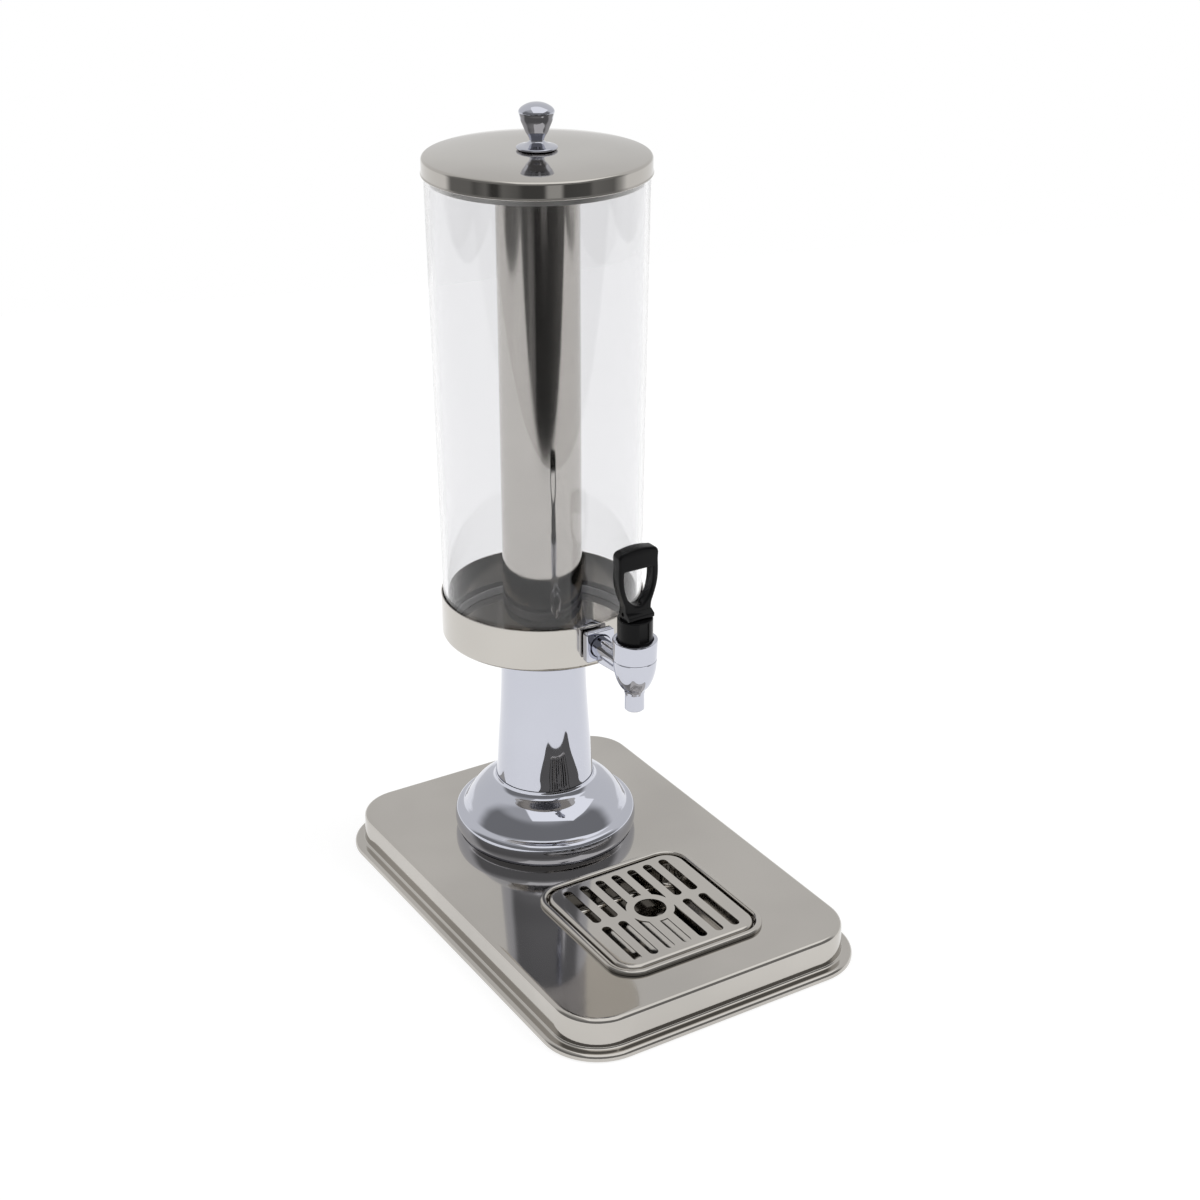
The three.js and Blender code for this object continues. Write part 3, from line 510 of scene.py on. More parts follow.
class Form:
    """A closed solid in millimetres that is being shaped."""

    def __init__(self, mesh: bpy.types.Mesh) -> None:
        """Take over a mesh in millimetres."""
        self.mesh = mesh

    @classmethod
    def of(cls, corners: Sequence[Corner], faces: Sequence[Sequence[int]]) -> "Form":
        """Make a form from corners and faces, welded and facing outwards."""
        mesh = bpy.data.meshes.new("form")
        mesh.from_pydata([tuple(corner) for corner in corners], [], [tuple(f) for f in faces])
        return cls(mesh).welded()

    def welded(self, distance: float = WELD) -> "Form":
        """Merge corners that coincide and turn every face outwards."""
        work = bmesh.new()
        work.from_mesh(self.mesh)
        bmesh.ops.remove_doubles(work, verts=work.verts, dist=distance)
        bmesh.ops.recalc_face_normals(work, faces=work.faces)
        if work.calc_volume(signed=True) < 0:
            bmesh.ops.reverse_faces(work, faces=work.faces)
        work.to_mesh(self.mesh)
        work.free()
        return self

    def moved(self, x: float = 0.0, y: float = 0.0, z: float = 0.0) -> "Form":
        """Move the form."""
        self.mesh.transform(Matrix.Translation((x, y, z)))
        return self

    def about(self, axis: Axis) -> "Form":
        """Turn the form so that its +Z lies along an axis."""
        angle, pivot = axis.value
        self.mesh.transform(Matrix.Rotation(angle, 4, pivot))
        return self

    def scaled(self, x: float = 1.0, y: float = 1.0, z: float = 1.0) -> "Form":
        """Scale the form along its axes. A mirrored form is turned right side out."""
        self.mesh.transform(Matrix.Diagonal((x, y, z, 1)))
        return self.welded() if x * y * z < 0 else self

    @classmethod
    def taken(cls, thing: bpy.types.Object, tools: Sequence[bpy.types.Object] = ()) -> "Form":
        """Return an object's shape with its modifiers, and remove the object and its tools."""
        graph = bpy.context.evaluated_depsgraph_get()
        mesh = bpy.data.meshes.new_from_object(thing.evaluated_get(graph), depsgraph=graph)
        for used in (thing, *tools):
            bpy.data.objects.remove(used, do_unlink=True)
        return cls(mesh)

    def _combined(self, operation: str, others: Sequence["Form"]) -> "Form":
        """Combine the form with others, one after the other."""
        whole = self
        for other in others:
            thing, tool = shown("form", whole.mesh), shown("form", other.mesh)
            step = thing.modifiers.new("combine", "BOOLEAN")
            step.operation = operation
            step.solver = "EXACT"
            step.object = tool
            whole = Form.taken(thing, [tool]).welded(SEAM)
        return whole

    def cut(self, *others: "Form") -> "Form":
        """Take other forms away from this one."""
        return self._combined("DIFFERENCE", others)

    def join(self, *others: "Form") -> "Form":
        """Fuse other forms with this one."""
        return self._combined("UNION", others)

    def softened(self, width: float, steps: int) -> "Form":
        """Round the sharp edges, with this many straight parts across each."""
        thing = shown("form", self.mesh)
        step = thing.modifiers.new("soften", "BEVEL")
        step.width = width
        step.segments = steps
        step.limit_method = "ANGLE"
        step.angle_limit = SHARP
        return Form.taken(thing)


def revolved(outline: Sequence[Spot], steps: int = ROUND_STEPS) -> Form:
    """Turn an outline of (radius, height) about Z.

    Args:
        outline: A loop, or a line from the axis to the axis.
        steps: Facets around.

    Returns:
        The solid.
    """
    corners: list[Corner] = []
    rings: list[list[int]] = []
    for radius, height in outline:
        if radius < 1e-6:
            rings.append([len(corners)] * steps)
            corners.append((0.0, 0.0, height))
            continue
        rings.append(list(range(len(corners), len(corners) + steps)))
        corners.extend((x, y, height) for x, y in circle(radius, steps))
    faces = []
    for low, high in zip(rings, [*rings[1:], rings[0]]):
        for i in range(steps):
            j = (i + 1) % steps
            face = list(dict.fromkeys((low[i], low[j], high[j], high[i])))
            if len(face) > 2:
                faces.append(face)
    return Form.of(corners, faces)


def circle(radius: float, steps: int) -> list[Spot]:
    """Return the points of a circle about the origin."""
    return arc(0.0, 0.0, radius, 0.0, FULL_TURN, steps)[:-1]


def lofted(rings: Sequence[Sequence[Corner]], closed: bool = False) -> Form:
    """Skin rings of like point counts.

    Args:
        rings: Rings of corners.
        closed: Whether the last ring meets the first. Otherwise both ends get a cap.

    Returns:
        The solid.
    """
    count, total = len(rings[0]), len(rings)
    corners = [corner for ring in rings for corner in ring]
    faces = []
    for ring in range(total if closed else total - 1):
        here, there = ring * count, (ring + 1) % total * count
        for i in range(count):
            j = (i + 1) % count
            faces.append((here + i, here + j, there + j, there + i))
    if not closed:
        faces.append(tuple(range(count)))
        faces.append(tuple(range((total - 1) * count, total * count)))
    return Form.of(corners, faces)


def slab(outline: Sequence[Spot], half: float, height: float) -> Form:
    """Return a slab across X between minus and plus half, with an outline of (y, z)."""
    return lofted([[(x, y, z + height) for y, z in outline] for x in (-half, half)])


def rounded_ring(
    width: float, depth: float, corner: float, inset: float, height: float, steps: int = 16,
) -> list[Corner]:
    """Return one level ring of a rounded rectangle.

    Args:
        width: The rectangle's size along X.
        depth: Its size along Y.
        corner: Its corner radius.
        inset: How far it is moved in.
        height: Its height.
        steps: Straight parts in each corner.

    Returns:
        The ring's corners.
    """
    radius = max(corner - inset, 0.1)
    reach_x, reach_y = width / 2 - inset - radius, depth / 2 - inset - radius
    prop = min(0.8, reach_x / 2, reach_y / 2)
    ring = []
    for number, (sign_x, sign_y) in enumerate(((1, 1), (-1, 1), (-1, -1), (1, -1))):
        start, end = number * QUARTER, number * QUARTER + QUARTER
        bend = arc(sign_x * reach_x, sign_y * reach_y, radius, start, end, steps)
        before = Vector(bend[0]) - Vector((-math.sin(start), math.cos(start))) * prop
        after = Vector(bend[-1]) + Vector((-math.sin(end), math.cos(end))) * prop
        ring.extend((spot[0], spot[1], height) for spot in (before, *bend, after))
    return ring


def pressed(
    line: Sequence[Spot], sheet: float, width: float, depth: float, corner: float,
) -> Form:
    """Press a sheet piece with a rounded rectangular outline.

    Args:
        line: The visible side as (inset, height), with the sheet to its right.
        sheet: The sheet's thickness.
        width: The outline's size along X.
        depth: Its size along Y.
        corner: Its corner radius.

    Returns:
        The solid.
    """
    both = [*reversed(offset_line(line, sheet)), *line]
    return lofted([rounded_ring(width, depth, corner, inset, height) for inset, height in both])


def extruded(
    outlines: Sequence[Sequence[Spot]], thickness: float, rounding: float, steps: int,
) -> Form:
    """Give flat outlines a thickness about the level plane, with rounded edges.

    Args:
        outlines: Closed lines. A line inside another one is a hole.
        thickness: The thickness along Z.
        rounding: The radius of the edges.
        steps: Straight parts across an edge.

    Returns:
        The solid.
    """
    curve = bpy.data.curves.new("outline", "CURVE")
    curve.dimensions = "2D"
    curve.fill_mode = "BOTH"
    curve.extrude = thickness / 2 - rounding
    curve.bevel_depth = rounding
    curve.bevel_resolution = steps - 1
    curve.offset = -rounding
    for outline in outlines:
        spline = curve.splines.new("POLY")
        spline.points.add(len(outline) - 1)
        for point, (x, y) in zip(spline.points, outline):
            point.co = (x, y, 0.0, 1.0)
        spline.use_cyclic_u = True
    form = Form.taken(shown("outline", curve))
    bpy.data.curves.remove(curve)
    return form.welded(CURVE_WELD)


def rounded_block(low: Corner, high: Corner, corner: float) -> Form:
    """Return an upright block between two corners, with rounded upright edges."""
    width, depth = high[0] - low[0], high[1] - low[1]
    rings = [rounded_ring(width, depth, corner, 0.0, height, 8) for height in (low[2], high[2])]
    return lofted(rings).moved((low[0] + high[0]) / 2, (low[1] + high[1]) / 2)


def round_bar(
    radius: float, bottom: float, top: float, edge: float = 0.0, steps: int = SMALL_STEPS,
) -> Form:
    """Return a round bar along Z with rounded ends."""
    line = bent([(0.0, bottom), (radius, bottom, edge), (radius, top, edge), (0.0, top)], 4)
    return revolved(line, steps)


def flat_ring(
    outer: float, inner: float, bottom: float, top: float, edge: float, steps: int = SMALL_STEPS,
) -> Form:
    """Return a flat ring along Z with rounded edges."""
    loop = [(r, z, edge) for r, z in ((inner, bottom), (outer, bottom), (outer, top), (inner, top))]
    return revolved(propped(eased(loop, 4), edge), steps)


def nut(across: float, bore: float, height: float) -> Form:
    """Return a hexagonal nut along Z with chamfered corners and a bore.

    Args:
        across: The size across the flats.
        bore: The bore's radius.
        height: The nut's height.

    Returns:
        The solid, standing on the level plane with a corner towards +Y.
    """
    steps, side, lip, flat = 96, FULL_TURN / 6, 0.4, across / 2
    chamfer_shares = ((0.0, 0.96), (0.07, 1.05), (0.14, 1.2))
    chamfer = [(height * z, flat * reach) for z, reach in chamfer_shares]
    rings = []
    for z, limit in (*chamfer, *((height - z, reach) for z, reach in reversed(chamfer))):
        spots = []
        for i in range(steps):
            angle = FULL_TURN * i / steps
            reach = min(flat / math.cos((angle + side / 2) % side - side / 2), limit)
            spots.append((reach * math.cos(angle), reach * math.sin(angle), z))
        rings.append(spots)
    for radius, z in ((bore + lip, height), (bore, height - lip), (bore, lip), (bore + lip, 0.0)):
        rings.append([(x, y, z) for x, y in circle(radius, steps)])
    return lofted(rings, closed=True)


def pan_screw(radius: float, head: float, height: float, seat: float, tip: float) -> Form:
    """Return an upward pan-head screw with a cross recess in its head.

    Args:
        radius: The shaft's radius.
        head: The head's radius.
        height: The head's height.
        seat: The height of the seat above the head.
        tip: The height of the screw's tip.

    Returns:
        The solid.
    """
    foot = seat - height
    blank = revolved(bent([
        (0.0, foot), (head * 0.72, foot, 1.2), (head, seat - height * 0.45, 0.6),
        (head, seat, 0.15), (radius, seat), (radius, tip - radius * 0.4, 0.2),
        (radius * 0.55, tip), (0.0, tip),
    ], 4), 40)
    wing, slit = head * 0.5, head * 0.13
    return blank.cut(*(
        rounded_block((-x, -y, foot - 1), (x, y, seat - height * depth), 0.2)
        for x, y, depth in ((wing, slit, 0.45), (slit, wing, 0.47))
    ))


class Recipe(Graph):
    """A Geometry Nodes tree with named inputs, baked to a plain form."""

    def __init__(self, name: str) -> None:
        """Start an empty tree."""
        tree = bpy.data.node_groups.new(name, "GeometryNodeTree")
        super().__init__(tree)
        tree.interface.new_socket("Geometry", in_out="OUTPUT", socket_type="NodeSocketGeometry")
        self.entry = self.add("NodeGroupInput")
        self.values: dict[str, object] = {}
        self.used: list[bpy.types.Object] = []

    def given(self, name: str, value: object, kind: str = "Float") -> Socket:
        """Add a named input.

        Args:
            name: The input's name.
            value: What the modifier sets it to.
            kind: Float, Int, Object or Material.

        Returns:
            The socket that gives the value inside the tree.
        """
        socket = self.tree.interface.new_socket(
            name, in_out="INPUT", socket_type=f"NodeSocket{kind}",
        )
        self.values[socket.identifier] = value
        return self.entry.outputs[name]

    def whole(self, name: str, value: int) -> Socket:
        """Add a named whole number."""
        return self.given(name, value, "Int")

    def shape(self, name: str, form: Form) -> Socket:
        """Add a named form and return its geometry."""
        thing = shown("form", form.mesh)
        thing.hide_render = True
        self.used.append(thing)
        return self.run("ObjectInfo", "Geometry", Object=self.given(name, thing, "Object"))

    def run(self, kind: str, output: str | int = 0, **inputs: object) -> Socket:
        """Add a geometry node and return one of its outputs.

        Args:
            kind: The node's type, without its first words.
            output: The output's name or number.
            inputs: Values or links by the socket's name, with _ for a space.

        Returns:
            The output.
        """
        named = {name.replace("_", " "): value for name, value in inputs.items()}
        return self.add(f"GeometryNode{kind}", named).outputs[output]

    def grid(self, across: tuple[float, int], along: tuple[float, int]) -> Socket:
        """Add a level grid of points, each way with its spread and its count."""
        return self.run(
            "MeshGrid",
            Size_X=self.given("Spread across", across[0]),
            Size_Y=self.given("Spread along", along[0]),
            Vertices_X=self.whole("Count across", across[1]),
            Vertices_Y=self.whole("Count along", along[1]),
        )

    def without(self, solid: Socket, tool: Socket) -> Socket:
        """Take one geometry away from another."""
        inputs = {"Mesh 1": solid, "Mesh 2": tool}
        return self.add("GeometryNodeMeshBoolean", inputs, operation="DIFFERENCE").outputs[0]

    def bake(self, geometry: Socket, finish: Finish) -> Form:
        """Close the tree with a finish, run it and return its result."""
        real = self.run("RealizeInstances", Geometry=geometry)
        material = self.given("Finish", finish.material(), "Material")
        dressed = self.run("SetMaterial", Geometry=real, Material=material)
        self.add("NodeGroupOutput", {0: dressed})
        host = shown("host", bpy.data.meshes.new("host"))
        modifier = host.modifiers.new("recipe", "NODES")
        modifier.node_group = self.tree
        for identifier, value in self.values.items():
            modifier[identifier] = value
        return Form.taken(host, self.used)


def threaded_bar(radius: float, bottom: float, run_out: float, top: float, pitch: float) -> Form:
    """Return a round bar along Z with a thread from its bottom.

    Args:
        radius: The bar's radius over the thread.
        bottom: The bar's lower end.
        run_out: Where the thread runs out.
        top: The bar's upper end.
        pitch: The thread's pitch.

    Returns:
        The solid.
    """
    steps = round((run_out - bottom) / pitch * 8)
    heights = [bottom + (run_out - bottom) * i / steps for i in range(1, steps + 1)]
    side = [(radius, z) for z in heights]
    chamfer, depth_share, fade_out, fade_in = 0.6, 0.4, 0.4, 0.2
    line = [(0.0, bottom), (radius - chamfer, bottom), *side, (radius, top), (0.0, top)]
    recipe = Recipe("Thread")
    blank = recipe.shape("Blank", revolved(line, TINY_STEPS))
    x, y, z = recipe.parts(recipe.run("InputPosition"))
    rise = Term(recipe, recipe.given("Pitch", pitch))
    end = Term(recipe, recipe.given("Thread top", run_out))
    turn = (z / rise - y.angle(x) / FULL_TURN).share()
    fade = (end - fade_out - z).held() * (z - bottom + fade_in).held()
    depth = Term(recipe, recipe.given("Thread depth", pitch * depth_share))
    groove = (turn * 2.0 - 1.0).size() * fade * depth / radius
    outward = recipe.add("ShaderNodeCombineXYZ", {0: x * groove * -1.0, 1: y * groove * -1.0})
    shaped = recipe.run("SetPosition", Geometry=blank, Offset=outward.outputs[0])
    return recipe.bake(shaped, PLAIN)


@dataclass
class SubAssembly:
    """What every sub-assembly shares: it hands its finished pieces to the frame."""

    axis: float = 0.0
    body: Body = Body.FRAME
    made: list[str] = field(default_factory=list, init=False)

    def build(self) -> None:
        """Build and dress every piece."""
        raise NotImplementedError

    def dress(
        self, name: str, form: Form, finish: Finish, *nodes: str, body: Body | None = None,
    ) -> bpy.types.Object:
        """Finish one piece.

        Args:
            name: The piece's name.
            form: Its shape in millimetres, on the sub-assembly's axis.
            finish: Its finish.
            nodes: The CAD nodes that it stands for.
            body: The body that it rides on, if it isn't the sub-assembly's own.

        Returns:
            The piece's object.
        """
        mesh = form.moved(y=self.axis).mesh
        mesh.name = name
        mesh.transform(Matrix.Scale(TO_METRES, 4))
        mesh.materials.clear()
        mesh.materials.append(finish.material())
        mesh.polygons.foreach_set("use_smooth", [True] * len(mesh.polygons))
        mesh.polygons.foreach_set("material_index", [0] * len(mesh.polygons))
        mesh.set_sharp_from_angle(angle=CREASE)
        thing = shown(name, mesh)
        body = body or self.body
        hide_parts(*nodes)
        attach(thing, body.value)
        self.made.append(name)
        self._report(thing, nodes)
        return thing

    @staticmethod
    def _report(thing: bpy.types.Object, nodes: Sequence[str]) -> None:
        """Log a piece with its faces, its open edges and how far it leaves its nodes' box."""
        spots = [vertex.co for vertex in thing.data.vertices]
        boxes = [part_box(node) for node in nodes]
        apart = 0.0
        for axis in range(3):
            low, high = (end(spot[axis] for spot in spots) for end in (min, max))
            apart = max(apart, min(box[0][axis] for box in boxes) - low)
            apart = max(apart, high - max(box[1][axis] for box in boxes))
        work = bmesh.new()
        work.from_mesh(thing.data)
        loose = sum(1 for edge in work.edges if not edge.is_manifold)
        volume = work.calc_volume(signed=True)
        work.free()
        whole = loose == 0 and volume > 0
        state = "closed" if whole else f"{loose} open edges, volume {volume:.3g}"
        faces = len(thing.data.polygons)
        log.info("%s: %d faces, %s, %.2f mm proud", thing.name, faces, state, apart / TO_METRES)


@dataclass
class Base(SubAssembly):
    """The pressed base with its stiffener."""

    width: float = 220.0
    depth: float = 322.0
    height: float = 25.0
    corner: float = 37.0
    sheet: float = 1.0
    ground: float = 1.0
    flange_top: float = 4.9
    flange_width: float = 6.9
    flange_edge: float = 2.6
    flange_fillet: float = 1.6
    draft: float = 0.6
    top_edge: float = 3.0
    opening: float = 106.4
    opening_corner: float = 16.2
    opening_axis: float = -69.5
    rod_axis: float = 61.85
    rod_hole: float = 4.4
    cutter_reach: float = 8.0
    stiffener_radius: float = 48.0
    stiffener_span: Spot = (19.7, 23.7)

    def build(self) -> None:
        """Build the base and its stiffener."""
        top_inset = self.flange_width + self.draft
        line = bent([
            (0.0, self.ground),
            (0.0, self.flange_top, self.flange_edge),
            (self.flange_width, self.flange_top, self.flange_fillet),
            (top_inset, self.height, self.top_edge),
            (top_inset + self.top_edge + 1.0, self.height),
        ], 8)
        shell = pressed(propped(line), self.sheet, self.width, self.depth, self.corner)
        low, high = self.height - self.cutter_reach, self.height + self.cutter_reach
        half = self.opening / 2
        opening = rounded_block(
            (-half, self.opening_axis - half, low), (half, self.opening_axis + half, high),
            self.opening_corner,
        )
        hole = round_bar(self.rod_hole, low, high).moved(y=self.rod_axis)
        self.dress("base_shell", shell.cut(opening, hole), POLISHED, "base_pan")
        plate = flat_ring(
            self.stiffener_radius, self.rod_hole, *self.stiffener_span, 0.4, ROUND_STEPS,
        )
        self.dress("stiffener_plate", plate.moved(y=self.rod_axis), PLAIN, "base_stiffener")


@dataclass
class RubberFeet(SubAssembly):
    """The four rubber feet with their bosses and screws."""

    spread_x: float = 166.0
    spread_y: float = 266.0
    foot_line: tuple[Corner, ...] = (
        (5.6, 0.0, 0.5), (10.0, 0.0, 1.0), (9.0, 23.7, 0.5), (5.3, 23.7), (5.3, 18.1),
        (2.35, 18.1), (2.35, 8.0), (5.6, 8.0, 0.5),
    )
    boss_radius: float = 5.0
    bore: float = 2.35
    boss_span: Spot = (18.4, 23.7)
    screw_radius: float = 2.0
    screw_head: Spot = (4.4, 2.6)
    screw_span: Spot = (7.7, 23.35)

    def _four(self, name: str, form: Form, finish: Finish, nodes: str) -> None:
        """Set one form at the base's four corners, for four nodes whose names start alike."""
        recipe = Recipe(name)
        grid = recipe.grid((self.spread_x, 2), (self.spread_y, 2))
        copies = recipe.run("InstanceOnPoints", Points=grid, Instance=recipe.shape("One", form))
        corners = ("front_left", "front_right", "rear_left", "rear_right")
        places = [f"{nodes}_{corner}" for corner in corners]
        self.dress(name, recipe.bake(copies, finish), finish, *places)

    def build(self) -> None:
        """Build the feet, their bosses and their screws."""
        foot = revolved(propped(eased(self.foot_line, 4)), TINY_STEPS)
        self._four("rubber_feet", foot, RUBBER, "rubber_foot")
        boss = flat_ring(self.boss_radius, self.bore, *self.boss_span, EDGE, 32)
        self._four("foot_bosses", boss, PLAIN, "foot_boss")
        screw = pan_screw(self.screw_radius, *self.screw_head, *self.screw_span)
        self._four("foot_screws", screw, PLAIN, "foot_screw")


@dataclass
class DripTray(SubAssembly):
    """The drip pan and its slotted grille."""

    axis: float = -69.5
    body: Body = Body.DRIP_PAN
    width: float = 112.0
    corner: float = 19.0
    sheet: float = 0.8
    rim_bottom: float = 25.3
    rim_top: float = 28.0
    rim_width: float = 4.0
    rim_roll: float = 1.6
    draft: float = 0.2
    ledge: float = 22.0
    ledge_width: float = 4.8
    floor: float = 6.5
    floor_bend: float = 3.0
    grille_fit: float = 1.3
    grille_bottom: float = 22.3
    grille_edge: float = 3.0
    slot_width: float = 6.0
    slot_rounding: float = 0.4999
    slot_columns: int = 7
    slot_reach: float = 44.0
    slot_pitch: float = 12.1
    middle_bar: float = 5.8
    sight_hole: float = 10.3
    sight_rim: float = 15.5
    cutter_reach: float = 4.0

    def _pan(self) -> Form:
        """Return the pressed pan."""
        inner = self.rim_width + self.draft
        well = inner + self.ledge_width
        line = bent([
            (0.0, self.rim_bottom),
            (0.0, self.rim_top, self.rim_roll),
            (self.rim_width, self.rim_top, self.rim_roll),
            (inner, self.ledge, 1.0),
            (well, self.ledge, 1.0),
            (well + self.draft, self.floor, self.floor_bend),
            (well + self.draft + self.floor_bend + 1.0, self.floor),
        ], 8)
        return pressed(propped(line), self.sheet, self.width, self.width, self.corner)

    def _grille(self) -> Form:
        """Return the grille with its two rows of slots and its sight hole."""
        inset = self.rim_width + self.draft + self.grille_fit
        width = self.width - 2 * inset
        line = propped(bent([
            (0.0, self.grille_bottom), (0.0, self.rim_top, self.grille_edge),
            (self.grille_edge + 1.0, self.rim_top),
        ], 10))
        plate = pressed(line, self.sheet, width, width, self.corner - inset)
        low, high = self.rim_top - self.cutter_reach, self.rim_top + self.cutter_reach
        recipe = Recipe("Grille slots")
        outline = recipe.run(
            "CurvePrimitiveQuadrilateral",
            Width=recipe.given("Slot width", self.slot_width),
            Height=recipe.given("Slot length", self.slot_reach - self.middle_bar / 2),
        )
        ends = recipe.add("GeometryNodeFilletCurve", {
            "Curve": outline, "Count": recipe.whole("End steps", 12),
            "Radius": recipe.given("End radius", self.slot_width * self.slot_rounding),
        }, mode="POLY")
        rail = recipe.run("CurvePrimitiveLine", Start=(0, 0, low), End=(0, 0, high))
        slot = recipe.run(
            "CurveToMesh", Curve=rail, Profile_Curve=ends.outputs[0], Fill_Caps=True,
        )
        grid = recipe.grid(
            (self.slot_pitch * (self.slot_columns - 1), self.slot_columns),
            (self.slot_reach + self.middle_bar / 2, 2),
        )
        slots = recipe.run("InstanceOnPoints", Points=grid, Instance=slot)
        rim, hole = (
            recipe.shape(name, round_bar(radius, low - 1, high + 1, steps=96))
            for name, radius in (("Rim disc", self.sight_rim), ("Sight hole", self.sight_hole))
        )
        cutters = recipe.add("GeometryNodeJoinGeometry")
        for part in (recipe.without(recipe.run("RealizeInstances", Geometry=slots), rim), hole):
            recipe.feed(cutters.inputs[0], part)
        return recipe.bake(
            recipe.without(recipe.shape("Plate", plate), cutters.outputs[0]), POLISHED,
        )

    def build(self) -> None:
        """Build the pan and the grille."""
        self.dress("drip_pan_fine", self._pan(), POLISHED, "drip_pan")
        grille = self._grille()
        self.dress("drip_grille_fine", grille, POLISHED, "drip_grille", body=Body.DRIP_GRILLE)


@dataclass
class Column(SubAssembly):
    """The spun foot, the tapering tube, and the rod that clamps them."""

    axis: float = 61.85
    foot_top: float = 65.7
    foot_sheet: float = 1.5
    foot_line: tuple[Spot, ...] = (
        (58.6, 25.3), (60.3, 29.2), (60.8, 33.2), (60.5, 36.8), (59.7, 39.2), (58.3, 40.4),
        (56.6, 40.9), (55.1, 41.7), (53.6, 43.8), (51.0, 48.0), (47.0, 53.2), (42.0, 57.3),
        (37.6, 59.6), (35.0, 60.9), (33.4, 63.0), (32.9, 65.7),
    )
    spigot_radius: float = 30.3
    spigot_top: float = 69.2
    span: Spot = (66.0, 170.7)
    wall: float = 1.5
    bottom_radius: float = 32.3
    top_radius: float = 27.5
    shares: tuple[Spot, ...] = (
        (1.0, 0.0), (0.86, 0.07), (0.645, 0.23), (0.42, 0.38), (0.2, 0.554), (0.075, 0.7),
        (0.0, 1.0),
    )
    rod_hole: float = 4.4
    rod_radius: float = 4.0
    rod_pitch: float = 1.25
    rod_span: Spot = (8.0, 169.1)
    washer_radius: float = 12.0
    washer_span: Spot = (17.8, 19.4)
    washer_edge: float = 0.25
    thread_past_nut: float = 2.0
    nut_across: float = 13.0
    nut_span: Spot = (11.0, 17.5)

    def _foot(self) -> Form:
        """Return the spun foot: a bulging edge, a lip, a dome and a spigot for the column."""
        spigot = [
            (self.spigot_radius, self.foot_top), (self.spigot_radius, self.spigot_top),
            (self.rod_hole, self.spigot_top),
        ]
        hidden = offset_line([*self.foot_line[::2], *spigot][::-1], self.foot_sheet)
        return revolved([*smooth(self.foot_line, 8), *propped(spigot), *hidden], FINE_STEPS)

    def _tube(self) -> Form:
        """Return the tapering tube."""
        widening = self.top_radius - self.bottom_radius
        bottom, top = self.span
        line = smooth([
            (self.top_radius - widening * r, bottom + (top - bottom) * h) for r, h in self.shares
        ], 10)
        inner = [(radius - self.wall, height) for radius, height in reversed(line)]
        return revolved([*line, *inner], FINE_STEPS)

    def build(self) -> None:
        """Build the foot, the tube and what clamps them."""
        self.dress("column_foot_fine", self._foot(), CHROME, "column_foot")
        self.dress("column_tube_fine", self._tube(), CHROME, "column_tube")
        washer = flat_ring(self.washer_radius, self.rod_hole, *self.washer_span, self.washer_edge)
        self.dress("clamp_washer", washer, PLAIN, "rod_washer")
        bottom, top = self.nut_span
        clamp = nut(self.nut_across, self.rod_hole, top - bottom).moved(z=bottom)
        self.dress("clamp_nut", clamp, PLAIN, "rod_nut")
        low, high = self.rod_span
        rod = threaded_bar(self.rod_radius, low, top + self.thread_past_nut, high, self.rod_pitch)
        self.dress("clamp_rod", rod, PLAIN, "tie_rod")


@dataclass
class Tank(SubAssembly):
    """The steel tray, the seal and the clear cylinder."""

    axis: float = 61.85
    tray_bottom: float = 171.0
    tray_top: float = 199.8
    tray_radius: float = 65.3
    tray_edge: float = 3.0
    sheet: float = 0.8
    seal_line: tuple[Corner, ...] = (
        (58.7, 172.1, 0.3), (61.0, 172.1), (64.0, 173.1), (64.0, 174.1, 0.3), (60.4, 174.1),
        (60.4, 177.1, 0.6), (58.7, 177.1, 0.6),
    )
    glass_bottom: float = 174.4
    glass_top: float = 478.4
    glass_bottom_radius: float = 63.7
    glass_top_radius: float = 67.6
    glass_wall: float = 3.0
    glass_props: Spot = (0.8, 1.6)
    glass_edges: Spot = (0.4, 1.0)
    shank_height: float = 188.0
    shank_hole: float = 7.4
    shank_room: float = 9.0

    def _shank_way(self) -> Form:
        """Return the cutter for the shank's hole in the front."""
        way = round_bar(self.shank_hole, 40.0, 80.0).about(Axis.Y)
        return way.scaled(y=-1.0).moved(z=self.shank_height)

    def _tray(self) -> Form:
        """Return the drawn tray."""
        band = (self.shank_height - self.shank_room, self.shank_height + self.shank_room)
        outer, inner = self.tray_radius, self.tray_radius - self.sheet
        floor = self.tray_bottom + self.sheet
        line = bent([
            (0.0, self.tray_bottom), (outer, self.tray_bottom, self.tray_edge),
            *((outer, z) for z in band), (outer, self.tray_top, EDGE),
            (inner, self.tray_top, EDGE), *((inner, z) for z in reversed(band)),
            (inner, floor, self.tray_edge - self.sheet), (0.0, floor),
        ], 8)
        return revolved(propped(line), FINE_STEPS).cut(self._shank_way())

    def _glass(self) -> Form:
        """Return the clear cylinder with softened rims."""
        low, high, wall = self.glass_bottom, self.glass_top, self.glass_wall
        spread = (self.glass_top_radius - self.glass_bottom_radius) / (high - low)
        room = (self.shank_height - self.shank_room, self.shank_height + self.shank_room)
        heights = (low, low + self.glass_props[0], *room, high - self.glass_props[1], high)
        side = [(self.glass_bottom_radius + spread * (z - low), z) for z in heights]
        foot, rim = self.glass_edges
        loop = [
            (*side[0], foot), *side[1:-1], (*side[-1], rim), (side[-1][0] - wall, high, rim),
            *((x - wall, z) for x, z in reversed(side[1:-1])), (side[0][0] - wall, low, foot),
        ]
        return revolved(eased(loop, 5), 256).cut(self._shank_way())

    def build(self) -> None:
        """Build the tray, the seal and the cylinder."""
        self.dress("tank_tray_fine", self._tray(), DRAWN, "tank_tray")
        # The seal's dark grey is painted shade for the gap between the tray and the cylinder.
        self.dress("tank_seal_fine", revolved(eased(self.seal_line, 4)), SEAL_PAINTED_SHADE, "tank_seal")
        glass = self.dress("tank_cylinder_fine", self._glass(), CLEAR, "tank_cylinder")
        glass.visible_shadow = False


